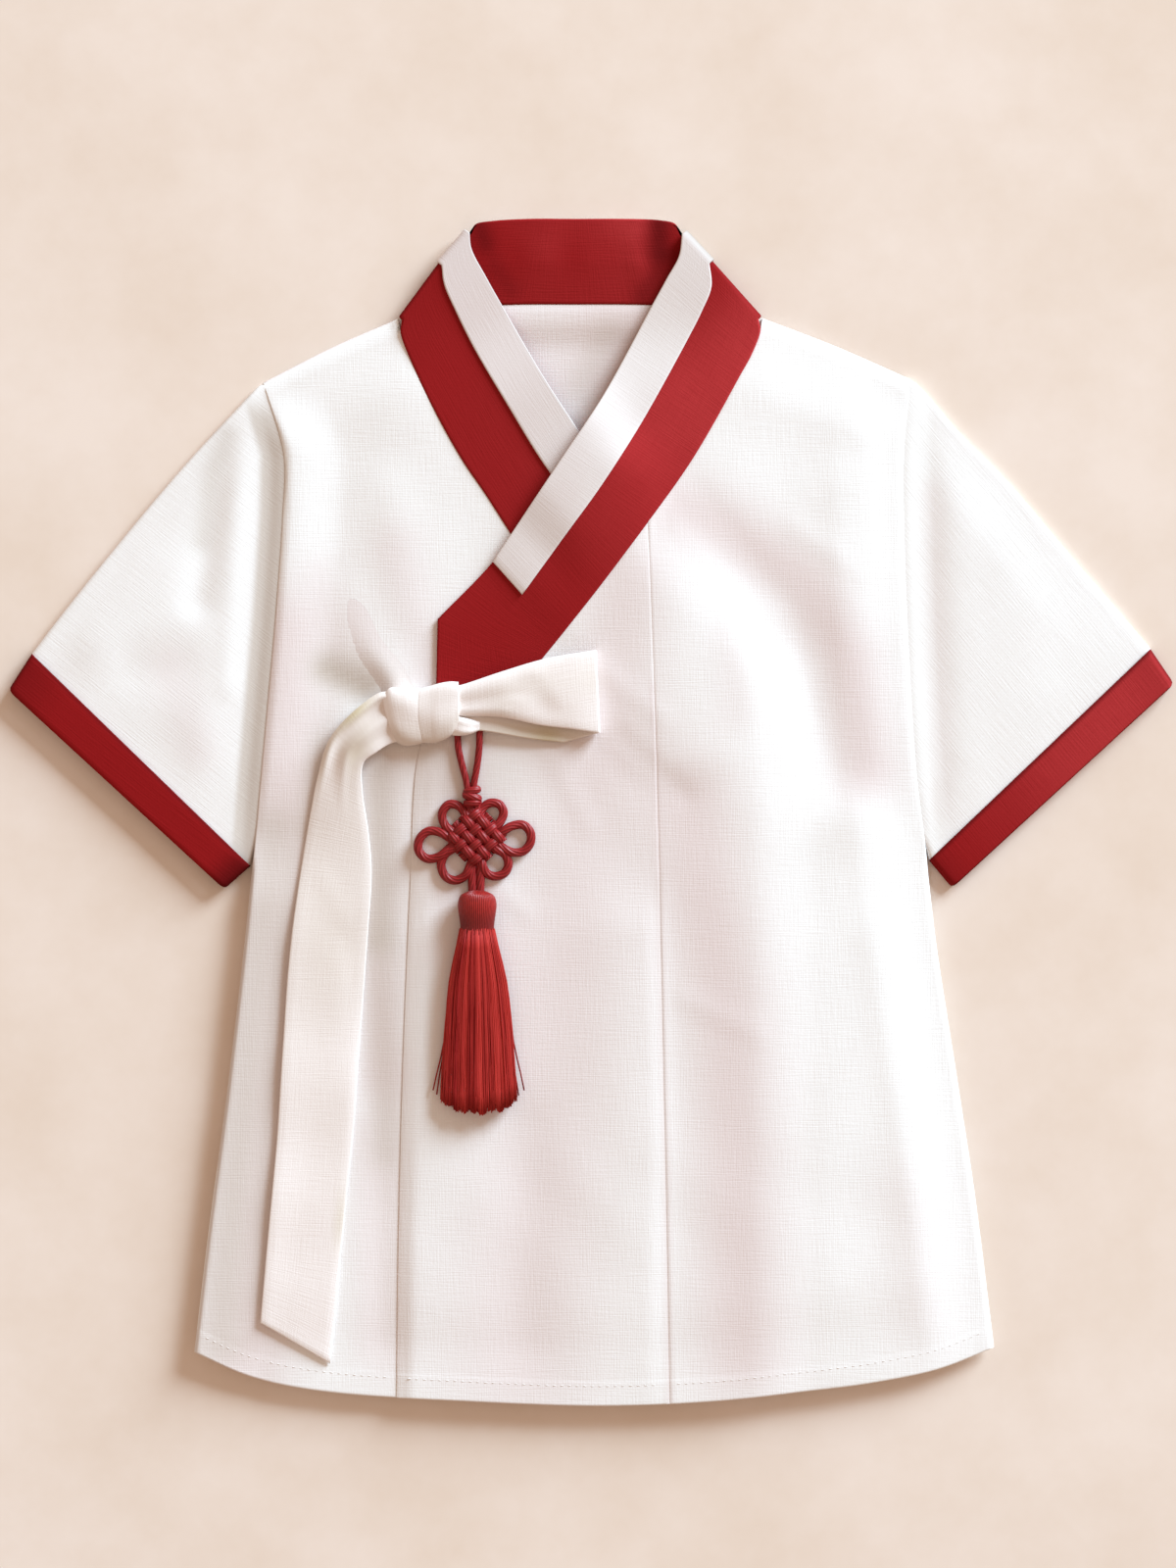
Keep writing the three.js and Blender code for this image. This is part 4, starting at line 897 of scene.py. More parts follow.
def turned_thread(points, way):
    """Cloth coordinates of points whose warp runs along the given way."""
    across = np.array([-way[1], way[0]])
    return np.stack([points[..., 0] * across[0] + points[..., 1] * across[1],
                     points[..., 0] * way[0] + points[..., 1] * way[1]], -1)


def across_places(width, steps):
    """Shares across a flattened tube, close together at its two folds."""
    near = np.array(NEAR_FOLD)
    middle = np.linspace(near[-1], width - near[-1], steps - 2 * len(near) + 3)
    return np.concatenate([near, middle[1:-1], width - near[::-1]]) / width


def beside_body(sleeve, x, y):
    """How far outside the body's edge a place on the sleeve lies."""
    return sleeve["side"] * (x - x_at(sleeve["body_edge"], y))


def sleeve_height(sleeve):
    """The height of a sleeve's upper face: it leaves the body's edge and falls to its own edges."""
    cuff_seam = [sleeve["crest"][-1], sleeve["underarm"][1]]
    deep, place, width = VALLEY

    def height(x, y):
        beside = beside_body(sleeve, x, y)
        crest = smooth(0, CREST_SLOPE, distance_to_line(x, y, sleeve["crest"]))
        armhole = smooth(*ARMHOLE_SLOPE, beside)
        cuff = mix(AT_CUFF, 1.0, smooth(0, CUFF_SLOPE, distance_to_line(x, y, cuff_seam)))
        drape = SLEEVE_CROWN + fold_height(x, y, SLEEVE_FOLDS) + slackness(x, y)
        roll = sleeve["roll"] * ROLL_FOOT * at_armhole(y)
        at_seam = FLOOR_TOP + 0.6 * CLOTH + roll
        base = mix(at_seam, sleeve["edge_height"], smooth(0, LEVEL_BY, beside))
        valley = deep * sleeve["valley"][0] * np.exp(-((beside - place) / width) ** 2)
        return base - crest * valley + crest * armhole * cuff * drape

    return height


def sleeve_way(sleeve):
    """The way that a sleeve's warp runs: from the armhole's middle to the cuff's."""
    armhole = (np.array(sleeve["armhole"][0]) + sleeve["armhole"][-1]) / 2
    cuff = (np.array(sleeve["crest"][-1]) + sleeve["underarm"][1]) / 2
    return unit(cuff - armhole)


def sleeve_plan(sleeve):
    """A flattened sleeve: its rows run from crest to underarm, the first one sewn into the armhole."""
    places = across_places(SLEEVE_WIDTH, ACROSS_SLEEVE)
    bottom = resample(curve_through(sleeve["armhole"], 10), places)
    bottom[:, 0] += sleeve["sewn_in"] * (1 + smooth(160, 185, bottom[:, 1]))
    bottom[0, 1] += 1.3
    rows = np.linspace(0, 1, ALONG_SLEEVE + 1)
    rows = mix(rows, rows**2, 0.6)
    rows = np.concatenate([rows[:-1], [0.997, 1.0]])
    top = resample([sleeve["crest"][-1], sleeve["underarm"][1]], places)
    left = resample(curve_through([bottom[0], *sleeve["crest"]], 10), rows)
    right = resample([bottom[-1], sleeve["underarm"][1]], rows)
    return plan_grid(bottom, top, left, right, places, rows)


def make_sleeve(name, sleeve, material):
    """A folded tube of cloth from the armhole to the cuff's seam."""
    plan = sleeve_plan(sleeve)
    outer, inner = flat_rings(plan, sleeve_height(sleeve), CLOTH, sleeve["edge_height"])
    thread = turned_thread(outer, sleeve_way(sleeve))
    x, y = outer[..., 0], outer[..., 1]
    # painted shade: pinker in the sleeve's hollows, and browner in the shade of folds and in the valley
    # beside the armhole's seam
    depth, full, gone = sleeve["valley"]
    valley = depth * smooth(gone, full, beside_body(sleeve, x, y)) * smooth(201, 184, y)
    tones = {
        "painted_hollow_shade": depth_of(x, y, SLEEVE_HOLLOWS),
        "shade": np.maximum(depth_of(x, y, SLEEVE_SHADES), valley),
    }
    piece = open_tube(name, outer, inner, thread, material, tones)
    return piece


def make_cuff(name, sleeve, material):
    """A red band round the sleeve's end, pressed thin at its seam and its mouth."""
    places = across_places(CUFF_WIDTH, ACROSS_SLEEVE)
    inner_edge = resample([sleeve["crest"][-1], sleeve["underarm"][1]], places)
    outer_edge = resample(sleeve["cuff_edge"], places)
    width = np.linalg.norm(outer_edge[0] - inner_edge[0])
    places = np.array([SEAM_GAP, *CUFF_ROWS, width - 0.4, width])
    plan = mix(inner_edge[None], outer_edge[None], (places / width)[:, None, None])
    round_off = np.clip(1 + (places - width) / CUFF_CORNER, 0, 1)
    inset = CUFF_CORNER * (1 - np.sqrt(1 - round_off**2)) / np.linalg.norm(plan[:, -1] - plan[:, 0], axis=1)
    middle = (plan[:, :1] + plan[:, -1:]) / 2
    plan = middle + (plan - middle) * (1 - 2 * inset)[:, None, None]

    def height(x, y):
        seam = distance_to_line(x, y, [inner_edge[0], inner_edge[-1]])
        mouth = distance_to_line(x, y, [outer_edge[0], outer_edge[-1]])
        pressed = CUFF_SEAM_PRESSED * smooth(1.6, 0, seam) + CUFF_MOUTH_PRESSED * smooth(1.4, 0, mouth)
        return sleeve["cuff_height"] - pressed + 0.6 * slackness(y, x)

    outer, inner = flat_rings(plan, height, CUFF, sleeve["edge_height"])
    from_body = distance_to_line(outer[..., 0], outer[..., 1], [inner_edge[-1], outer_edge[-1]])
    from_crest = distance_to_line(outer[..., 0], outer[..., 1], [inner_edge[0], outer_edge[0]])
    from_seam = distance_to_line(outer[..., 0], outer[..., 1], [inner_edge[0], inner_edge[-1]])
    # painted shade: the cuff's red is darker beside the body and towards its crest's end, in a fine line
    # along its seam and along its crest's fold
    ends = np.maximum(smooth(16, 0, from_body), 0.4 * smooth(30, 0, from_crest))
    folds = np.maximum(0.7 * smooth(2.0, 0.3, from_seam), 0.8 * smooth(2.2, 0.5, from_crest))
    tones = {
        "painted_hollow_shade": mix(*sleeve["cuff_tone"], smooth(5, 115, from_body)),
        "shade": np.maximum(sleeve["cuff_shade"] * ends, folds),
    }
    piece = open_tube(name, outer, inner, turned_thread(outer, sleeve_way(sleeve)), material, tones)
    return piece


# ---- collar and edging ----
NECK, EDGE, SEAM = 0, 1, 2
BACK_STEP_UP = EDGING + GAP
COLUMN_RISE = np.array([BACK_STEP_UP, BACK_STEP_UP, 0.0]) + LOFT
SETTLES_OVER = 60  # how far from its turn at the neck the collar has come down on the front
NECK_LIFT_FROM = (110, 150)  # y where it starts to stand off the front, and where it does so most
NECK_LIFT_SHARES = np.array([1.0, 0.5, 0.0])  # of its three points
RIPPLE_SHARES = np.array([0.7, 1.0, 0.0])
TURN_STEPS = 14
NEAR_STRIP_EDGE = 0.055  # a close column beside a strip's edges, as a share of its width
BACK_RIPPLES = [
    # x, width, height of the soft upright ripples in the back of the collar
    (-43, 6, -0.5), (-22, 9, 0.45), (2, 10, -0.3), (21, 5, 0.6), (33, 6, -0.6),
]


def column_points(ruling):
    """A ruling's three points: neck edge, the edging's outer edge, seam edge."""
    return np.array(ruling, float).reshape(3, 2)


def fold_axis(fold, side):
    """The way out at a fold beside the neck, and the middles that the strip turns round."""
    points = column_points(fold)
    along = unit(points[NECK] - points[SEAM])
    out = side * np.array([along[1], -along[0]])
    reach = COLLAR + BEND + np.array([EDGING + GAP / 2, 0.5 * EDGING, 0.0])
    return out, points - reach[:, None] * out


def front_stations(rulings, centres, underside):
    """Heights of the collar's lower face on a front stretch, from its turn at the neck to its foot."""
    stations = []
    travelled = 0.0
    previous = centres[EDGE]
    for ruling in rulings:
        points = column_points(ruling)
        travelled += np.linalg.norm(points[EDGE] - previous)
        previous = points[EDGE]
        settled = smooth(0, SETTLES_OVER, travelled)
        lift = NECK_LIFT * smooth(*NECK_LIFT_FROM, points[EDGE][1]) * NECK_LIFT_SHARES
        turned = COLUMN_RISE + COLLAR + 2 * BEND
        resting = underside(points[:, 0], points[:, 1]) + lift
        stations.append(np.column_stack([points, mix(turned, resting, settled)]))
    return stations


def ripple(x):
    """The back of the collar's soft upright ripples."""
    return sum(rise * np.exp(-((x - place) / width) ** 2) for place, width, rise in BACK_RIPPLES)


def collar_strip(columns, start, end, bare_under, bare_over):
    """A strip's two faces, stood off the collar's own outer face by start..end, and where it turns."""
    right_out, right_centres = fold_axis(RIGHT_FOLD, -1)
    left_out, left_centres = fold_axis(LEFT_FOLD, 1)
    stations = []
    turned = []

    def push_front(station):
        stations.append([station + [0, 0, COLLAR + start], station + [0, 0, COLLAR + end]])
        turned.append(0.0)

    def push_turn(out, centres, angle):
        faces = []
        for stand_off in (start, end):
            reach = BEND + COLLAR + stand_off
            place = centres + out * reach * math.sin(angle)
            height = COLUMN_RISE + COLLAR + BEND - reach * math.cos(angle)
            faces.append(np.column_stack([place, height]))
        stations.append(faces)
        turned.append(math.sin(angle))

    def push_back(ruling):
        points = column_points(ruling)
        swell = ripple(points[:, 0]) * RIPPLE_SHARES
        stations.append([np.column_stack([points, COLUMN_RISE - start + np.maximum(swell, 0) * (start < 0)]),
                         np.column_stack([points, COLUMN_RISE - end])])
        turned.append(0.0)

    right_flat = right_centres.ravel()
    left_flat = left_centres.ravel()
    shown_under = UNDER_FRONT[bare_under:]
    under = smooth_rulings([*shown_under, right_flat], straight_start=1 if bare_under == 0 else 0)
    for station in front_stations(under[:-1][::-1], right_centres, front_underside)[::-1]:
        push_front(station)
    turns = np.linspace(0, math.pi, TURN_STEPS + 1)
    for angle in turns[::-1]:
        push_turn(right_out, right_centres, angle)
    for ruling in smooth_rulings([right_flat, *BACK_STRETCH, left_flat])[1:-1]:
        push_back(ruling)
    for angle in turns:
        push_turn(left_out, left_centres, angle)
    shown_over = OVER_FRONT[:len(OVER_FRONT) - bare_over]
    over = smooth_rulings([left_flat, *shown_over], straight_end=1 if bare_over == 0 else 0)
    for station in front_stations(over[1:], left_centres, over_underside):
        push_front(station)

    faces = np.array(stations)
    places = [0.0, NEAR_STRIP_EDGE, *np.linspace(0, 1, 9)[1:-1], 1 - NEAR_STRIP_EDGE, 1.0]
    if SEAM in columns:
        places += [*np.linspace(1, 2, 13)[2:-1], 2 - NEAR_STRIP_EDGE, 2.0]
    places = np.array(places)
    low = np.minimum(places.astype(int), 1)
    share = (places - low)[None, None, :, None]
    wide = mix(faces[:, :, low], faces[:, :, low + 1], share)
    return wide[:, 0], wide[:, 1], np.array(turned)[:, None]


COLLAR_TONES = [
    # x, y on the collar; how dark painted shade makes the red there, from 0 to 1
    (-80, 205, 0.85), (-60, 150, 0.8), (-10, 95, 0.85), (-50, 70, 0.9), (20, 130, 0.55), (48, 190, 0.1),
    (75, 220, 0.0), (-52, 268, 1.0), (-36, 262, 0.95), (-22, 268, 0.6), (-22, 252, 0.75), (-8, 262, 0.9),
    (8, 262, 0.75), (20, 275, 0.0), (19, 262, 0.5), (34, 270, 1.0), (42, 262, 1.0),
]
# Painted shade on the collar: where its red is darker still
COLLAR_SHADES = [
    ([(32, 278), (32, 264)], 6, 0.8),
    ([(37, 262), (24, 243)], 5, 0.5),
    ([(-53, 277), (-50, 268)], 5, 0.6),
    ([(-46, 258), (-38, 246)], 5, 0.3),
]
UNDER_EDGE_SHADE = 0.34  # painted shade on the under front's neck edge
# Painted shade on the edging: x, y, and how grey it is there, from 0 to 1
EDGING_TONES = [
    (-65, 250, 1.0), (-45, 200, 0.8), (-10, 150, 0.75), (-40, 110, 0.55), (0, 150, 0.35), (40, 215, 0.25),
    (52, 250, 0.55),
]


def tone_at(points, tones):
    """A soft blend of the tones round a place."""
    total = np.zeros(points.shape[:-1])
    weight = np.zeros(points.shape[:-1])
    for x, y, tone in tones:
        near = 1 / (np.hypot(points[..., 0] - x, points[..., 1] - y) + 6.0) ** 3
        total = total + tone * near
        weight = weight + near
    return total / weight


def strip_thread(grid):
    """Cloth coordinates on a strip: across its rows, and along its middle column."""
    along = lengths_along(grid[:, grid.shape[1] // 2])[:, None]
    return np.stack(np.broadcast_arrays(lengths_across(grid), along), -1)


# ---- ties: each ruling is x, y of its upper or left edge, then x, y of its lower or right edge ----
LOOP_BACK = [
    # ..., height, bulge
    (-68, 53, -68, 41, 9.9, 0),
    (-61.9, 53.5, -61.9, 38.6, 9.7, 0),
    (-51, 57, -51.6, 38.2, 9.7, 0),
    (-30, 64, -30, 34.6, 8.6, 0.2),
    (-13, 70, -13, 32.7, 7.8, 0.2),
]
LOOP_TURN_UPPER = (2.4, 76.0)
LOOP_TURN_LOWER = (4.2, 37.2)
LOOP_TURN_HEIGHT = 7.7
LOOP_FRONT = [
    (-12, 74, -10, 39.2, 11.6, 0.9),
    (-24.3, 71.5, -24.3, 40.9, 12, 1.2),
    (-42.4, 66, -42.4, 44.6, 12.4, 1.3),
    (-61.9, 59.6, -61.9, 45.4, 11.6, 0.5),
    (-68, 58.5, -68, 46.5, 11.2, 0.3),
]
LOOP_CREASES = [
    # start, end, width, height: how the loop's front gathers into the knot
    ((-62, 56), (-26, 66), 3.2, 0.3),
    ((-62, 51), (-34, 56), 2.6, -0.3),
    ((-62, 47), (-40, 48), 2.2, 0.3),
    ((-16, 56), (0, 71), 7.0, 0.6),
    ((-34, 62), (-20, 48), 6.0, -0.35),
]
LOOP_BEND = 1.4
# Painted shade on the loop: where it is pinker and greyer
LOOP_TONES = [
    # how far along, across, length, width, depth
    (34, 0.2, 22, 0.35, 0.55), (30, 0.9, 30, 0.25, 0.9), (6, 0.6, 10, 0.5, 0.6), (64, 0.5, 6, 0.9, 0.95),
    (72, 0.35, 10, 0.25, 0.8), (105, 0.35, 22, 0.3, 0.5), (122, 0.7, 8, 0.4, 0.5),
]
# Painted shade on the loop: where it is browner, along its lower edge and on its turn at the free end
LOOP_SHADES = [
    (48, 0.95, 9, 0.22, 0.9), (33, 0.95, 14, 0.15, 0.3), (64, 0.5, 3, 1.0, 0.45),
]
TAIL = [
    # ..., stand-off from the front
    (-96, 57, -88.5, 33.4, 3.2),
    (-101.2, 55.6, -93.4, 32.6, 3.2),
    (-114, 45.6, -101.3, 28, 4.0),
    (-123.5, 34.3, -107.5, 22.5, 3.2),
    (-128.8, 18, -107.6, 8, 1.6),
    (-132.3, 0.9, -105.2, -8, 0.8),
    (-136.5, -24, -103.6, -28, 0.3),
    (-141.1, -56.5, -105.2, -55, 0.4),
    (-143.4, -80, -107, -80, 0.7),
    (-145, -104.3, -108.8, -104, 0.3),
    (-146.6, -129, -110.6, -129, 0.5),
    (-148.2, -153.3, -112.4, -153.3, 0.3),
    (-150.3, -177, -115, -177.5, 0.6),
    (-152.5, -200, -117.5, -202, 0.3),
    (-154.3, -220, -120, -231, 0.5),
    (-156.1, -240.7, -123.2, -260, 0.3),
]
TAIL_CLEARANCE = 0.15
TAIL_CURL = 0.9  # how far the hanging part's left edge stands up
SHORT_TIE = [
    # ..., bulge
    (-133, 106, -106, 120, 0.05),
    (-124, 90, -99, 102, 0.15),
    (-114, 73.5, -95, 83, 0.35),
    (-105, 62, -87, 70, 0.9),
    (-99, 53, -82, 58.5, 1.6),
    (-97.5, 47, -80.5, 51.5, 3.0),
]
MAIN_WRAP = [
    # x, y of the upper edge; x, y of the lower edge; underside; top
    (-80.8, 58.0, -79.1, 32.6, 6.2, 13.15),
    (-76, 59.3, -75, 32.4, 6.2, 13.8),
    (-71.5, 60.6, -71.5, 33.0, 6.4, 14.5),
    (-66.5, 61.4, -66, 36.0, 7.8, 14.8),
    (-62.6, 61.2, -62.2, 41.8, 9.4, 14.6),
]
SECOND_WRAP = [
    (-98.2, 54.8, -91.4, 32.6, 5.1, 10.2),
    (-95, 58.4, -88.6, 31.4, 4.9, 11.8),
    (-90, 58.6, -85.4, 31.2, 4.9, 12.7),
    (-84.5, 58.4, -81.8, 31.8, 5.3, 13.1),
    (-77, 57.8, -76, 33.4, 6.2, 13.0),
]
PUCKER = [
    (-66.5, 46.4, -65.5, 36.0, 8.2, 12.6),
    (-61.5, 45.0, -61.2, 35.9, 8.0, 13.6),
    (-57, 44.0, -57, 36.6, 8.2, 13.2),
    (-52.5, 42.9, -52.8, 38.4, 8.8, 11.4),
]
ACROSS_TIE = 26
PRESSED_OVER = 3.5  # how far in from a tie's edges it is thinner
TAIL_FOLDS = [
    # where across the tail, from 0 at its left edge to 1; width; height; how far along it lasts
    (0.10, 0.07, 1.3, 62),
    (0.30, 0.12, -1.1, 58),
    (0.55, 0.10, 0.7, 70),
    (0.80, 0.10, -0.6, 46),
]
TAIL_WAVES = [
    # how far along the tail, width, height: where it lies a little off the front
    (118, 16, 0.5), (176, 22, 0.7), (250, 20, 0.5),
]
# Painted shade on the tail: where it is pinker and greyer
TAIL_TONES = [
    # how far along, across, length, width, depth
    (14, 0.5, 14, 0.4, 0.4), (22, 0.45, 12, 0.22, 0.8), (52, 0.75, 40, 0.30, 0.5), (80, 0.20, 50, 0.35, 0.4),
    (120, 0.6, 40, 0.6, 0.65), (180, 0.4, 40, 0.6, 0.15), (215, 0.8, 24, 0.3, 0.2),
]
# Painted shade on the tail: where it is browner and yellower, most along its left edge near the knot
TAIL_SHADES = [
    (16, 0.05, 9, 0.14, 1.0), (27, 0.7, 9, 0.25, 0.45), (34, 0.04, 16, 0.1, 0.35), (250, 0.95, 14, 0.08, 0.4),
]


def spots(along, across, marks):
    """Soft oval tones on a strip."""
    bare = np.ones(np.broadcast(along, across).shape)
    for far, wide, length, width, depth in marks:
        away = ((along - far) / length) ** 2 + ((across - wide) / width) ** 2
        bare = bare * (1 - depth * np.exp(-away))
    return 1 - bare


def across_ruling(row, height, bulge):
    """Points across a tie from one edge to the other, raised in the middle by the bulge."""
    share = np.linspace(0, 1, ACROSS_TIE + 1)
    x = mix(row[0], row[2], share)
    y = mix(row[1], row[3], share)
    return np.column_stack([x, y, height(x, y) + bulge * 4 * share * (1 - share)])


def raised(grid, thickness):
    """The same grid of points, higher by the thickness."""
    return grid + [0, 0, thickness]


def pressed_edges(grid, thickness, thin):
    """The upper face of a strip whose long edges are pressed thinner than its middle."""
    travelled = lengths_across(grid)
    inward = np.minimum(travelled, travelled[:, -1:] - travelled)
    face = grid.copy()
    face[..., 2] += thickness * mix(thin, 1.0, smooth(0, PRESSED_OVER, inward))
    return face


def make_tail(material):
    """The hanging end: gathered where it leaves the knot, and lying on the under front below."""
    rows = curve_through(TAIL)
    middles = (rows[:, :2] + rows[:, 2:4]) / 2
    along = lengths_along(middles)
    share = np.linspace(0, 1, ACROSS_TIE + 1)
    lower = []
    for row, travelled in zip(rows, along):
        gather = sum(rise * np.exp(-((share - place) / width) ** 2) * smooth(lasts, 0.2 * lasts, travelled)
                     for place, width, rise, lasts in TAIL_FOLDS)
        wave = sum(rise * math.exp(-((travelled - place) / width) ** 2) for place, width, rise in TAIL_WAVES)
        ruling = across_ruling(row, under_top, 0.3)
        curl = TAIL_CURL * (1 - share) ** 3 * smooth(60, 140, travelled)
        stand_off = np.maximum(row[4] + gather + wave * (1 - share) + curl, 0.1)
        ruling[:, 2] += TAIL_CLEARANCE + stand_off
        lower.append(ruling)
    lower = np.array(lower)
    # painted shade from the tail's two tables
    tones = {
        "painted_hollow_shade": spots(along[:, None], share[None, :], TAIL_TONES),
        "shade": spots(along[:, None], share[None, :], TAIL_SHADES),
    }
    upper = pressed_edges(lower, TIE, 0.75)
    piece = cloth_shell("tie_tail", lower, upper, strip_thread(lower), material, tones)
    return piece


def make_short_tie(material):
    """The short tie is pulled flat into the front, so that only a soft ridge of it shows."""
    rows = curve_through(SHORT_TIE)
    share = np.linspace(0, 1, ACROSS_TIE + 1)
    lower = []
    for row in rows:
        ruling = across_ruling(row, under_top, 0.0)
        ruling[:, 2] += row[4] * np.sin(math.pi * share) ** 2 - TIE - 0.12
        lower.append(ruling)
    lower = np.array(lower)
    # painted shade: the short tie is greyer all over, more in the body's hollows, and browner towards its
    # lower end
    tones = {
        "painted_hollow_shade": 0.6 + 0.4 * depth_of(lower[..., 0], lower[..., 1], BODY_HOLLOWS),
        "shade": 0.4 * smooth(90, 60, lower[..., 1]),
    }
    piece = cloth_shell("tie_short", lower, raised(lower, TIE), lower[..., :2], material, tones)
    return piece


def make_loop(material):
    """The bow's loop: its back, its turn at the free end, and its gathered front."""
    reach = LOOP_BEND + TIE
    inner, outer = [], []
    for row in curve_through(LOOP_BACK, 6):
        face = across_ruling(row, lambda x, y: LOFT + row[4] + 0 * x, -row[5])
        outer.append(face)
        inner.append(raised(face, TIE))
    for angle in np.linspace(0, math.pi, TURN_STEPS + 1):
        for radius, side in ((reach, outer), (LOOP_BEND, inner)):
            sideways = 0.4 * radius * math.sin(angle) - 0.4 * reach
            ruling = (LOOP_TURN_UPPER[0] + sideways, LOOP_TURN_UPPER[1],
                      LOOP_TURN_LOWER[0] + sideways, LOOP_TURN_LOWER[1])
            height = LOFT + LOOP_TURN_HEIGHT + reach - radius * math.cos(angle)
            side.append(across_ruling(ruling, lambda x, y: height + 0 * x, 0.3 * (1 - math.cos(angle))))
    for row in curve_through(LOOP_FRONT, 6):
        face = across_ruling(row, lambda x, y: LOFT + row[4] + fold_height(x, y, LOOP_CREASES), row[5])
        inner.append(face)
        outer.append(pressed_edges(face[None], TIE, 0.8)[0])
    inner, outer = np.array(inner), np.array(outer)
    along = lengths_along(outer.mean(axis=1))[:, None]
    share = np.linspace(0, 1, ACROSS_TIE + 1)[None, :]
    # painted shade from the loop's two tables
    tones = {"painted_hollow_shade": spots(along, share, LOOP_TONES), "shade": spots(along, share, LOOP_SHADES)}
    piece = cloth_shell("tie_loop", inner, outer, strip_thread(outer), material, tones)
    return piece


WRAP_SIDES = 48
WRAP_SQUARENESS = 0.8
WRAP_BOW = 1.3  # how far a wrap's first edge bows sideways
WRAP_GATHERS = 0.16


def wrap_ring(section, inset, bow=0.0):
    """A rounded ring of cloth round the bow's middle, made smaller by the inset and bowed sideways."""
    ax, ay, bx, by, low, high = section
    low, high = low + LOFT, high + LOFT
    angle = once_round(WRAP_SIDES)
    c, s = np.cos(angle), np.sin(angle)
    across = (1 + np.sign(c) * np.abs(c) ** WRAP_SQUARENESS) / 2
    rise = (1 + np.sign(s) * np.abs(s) ** WRAP_SQUARENESS) / 2
    width = math.hypot(ax - bx, ay - by)
    across = 0.5 + (across - 0.5) * (width - 2 * inset) / width
    rise = 0.5 + (rise - 0.5) * (high - low - 2 * inset) / (high - low)
    gathers = WRAP_GATHERS * np.sin(9 * across + 0.2 * ax) * np.clip(s, 0, 1)
    sideways = bow * 4 * across * (1 - across)
    return np.column_stack([mix(bx, ax, across) - sideways, mix(by, ay, across),
                            mix(low, high, rise) + gathers])


def make_wrap(name, sections, material, tone, bow):
    """One turn of the tie round the bow's middle: a padded band with turned edges."""
    rows = curve_through(sections)
    bows = np.linspace(bow, 0.0, len(rows))
    rings = [wrap_ring(rows[0], 0.12, bows[0]), wrap_ring(rows[0], 0.03, bows[0])]
    rings += [wrap_ring(row, 0.0, bow) for row, bow in zip(rows, bows)]
    rings += [wrap_ring(rows[-1], 0.08), wrap_ring(rows[-1], 0.3)]
    rings = np.array(rings)
    for k, push in ((0, 0.16), (1, 0.1)):
        rings[k] += push * (rings[2] - rings[3]).mean(axis=0)
        rings[-1 - k] += push * (rings[-3] - rings[-4]).mean(axis=0)
    low = np.array([ring[:, 1].min() for ring in rings])[:, None]
    high = np.array([ring[:, 1].max() for ring in rings])[:, None]
    share = (rings[:, :, 1] - low) / (high - low)
    # painted shade: a wrap is a little greyer all over, and most towards its lower edge
    painted_hollow_shade = tone * (0.15 + 0.75 * smooth(0.55, 0.0, share))
    piece = loft(name, rings, strip_thread(rings)[..., ::-1], material, {"painted_hollow_shade": painted_hollow_shade.ravel()})
    return piece


# ---- norigae pendant ----
PENDANT = (-54.5, -11.7)
PENDANT_CLEARANCE = 0.2
CORD_ROUTE = [
    (-58.2, 10.4), (-59.0, 15), (-61.0, 22.5), (-62.7, 30.5), (-63.2, 37.5), (-64.5, 42.2),
    (-62.6, 47.4), (-58.1, 49.5), (-53.6, 47.4), (-51.7, 42.2), (-52.6, 37.5), (-52.8, 30.5),
    (-53.7, 22.5), (-55.0, 15), (-55.6, 10.4),
]
TOP_KNOT = (-56.2, 7.6)
TOP_KNOT_TURNS = [
    # y from the knot's middle; slant; half width; half height of the cord's centreline
    (2.4, 0.26, 2.5, 1.5), (-0.4, -0.30, 2.9, 1.8), (-3.2, 0.14, 2.3, 1.5),
]
TOP_KNOT_CORD = 3.9
KNOT_LOOPS = [
    # x, y from the knot's middle along each loop, from inside the weave and back into it
    [(-7.6, -3.4), (-12.0, -0.6), (-17.0, 2.2), (-22.5, 2.6), (-26.6, -1.5), (-26.8, -6.6), (-23, -10.2),
     (-17.4, -9.4), (-12.6, -5.6), (-8.4, -1.6)],
    [(7.4, -1.4), (12.0, -4.6), (17.0, -7.2), (22.3, -6.8), (25.7, -2.9), (25.7, 2.2), (22.3, 5.6),
     (16.8, 5.0), (11.8, 1.6), (7.6, -1.8)],
    [(-6.2, -1.4), (-10, 1.8), (-14.4, 5.5), (-15.8, 11), (-12.8, 15.2), (-8.2, 14.7), (-4.5, 10.5),
     (-1.7, 6.4), (0.8, 3.2)],
    [(-1.6, 3.4), (1.1, 7.3), (2.9, 12.9), (6.6, 15.9), (11.2, 15.2), (13.1, 11.5), (11.7, 7.3),
     (8.5, 3.6), (5.6, 0.6)],
    [(-5.6, -1.4), (-9.1, -4.7), (-14.2, -8), (-16.3, -13), (-14.2, -18.6), (-9.6, -20.5), (-4.9, -18.1),
     (-2.6, -13.5), (-1.2, -9.0)],
    [(1.6, -7.6), (2.9, -12.1), (4.8, -16.7), (8.9, -18.6), (13.6, -17), (15.4, -12.6), (13.6, -8.2),
     (8.9, -5.4), (5.2, -2.6)],
]
KNOT_STEMS = [
    # x, y from the knot's middle: the two cords above the weave, and the two below it
    [(-2.9, 17.0), (-2.4, 13.6), (-3.2, 9.8)],
    [(0.9, 17.0), (0.8, 13.6), (1.6, 9.8)],
    [(-1.8, -10.5), (-1.8, -15), (-1.6, -20.5), (-1.4, -27)],
    [(2.2, -10.5), (2.3, -15), (2.2, -20.5), (2.0, -27)],
]
WEAVE_LANES = (-1.5, -0.5, 0.5, 1.5)
WEAVE_PITCH = 5.0
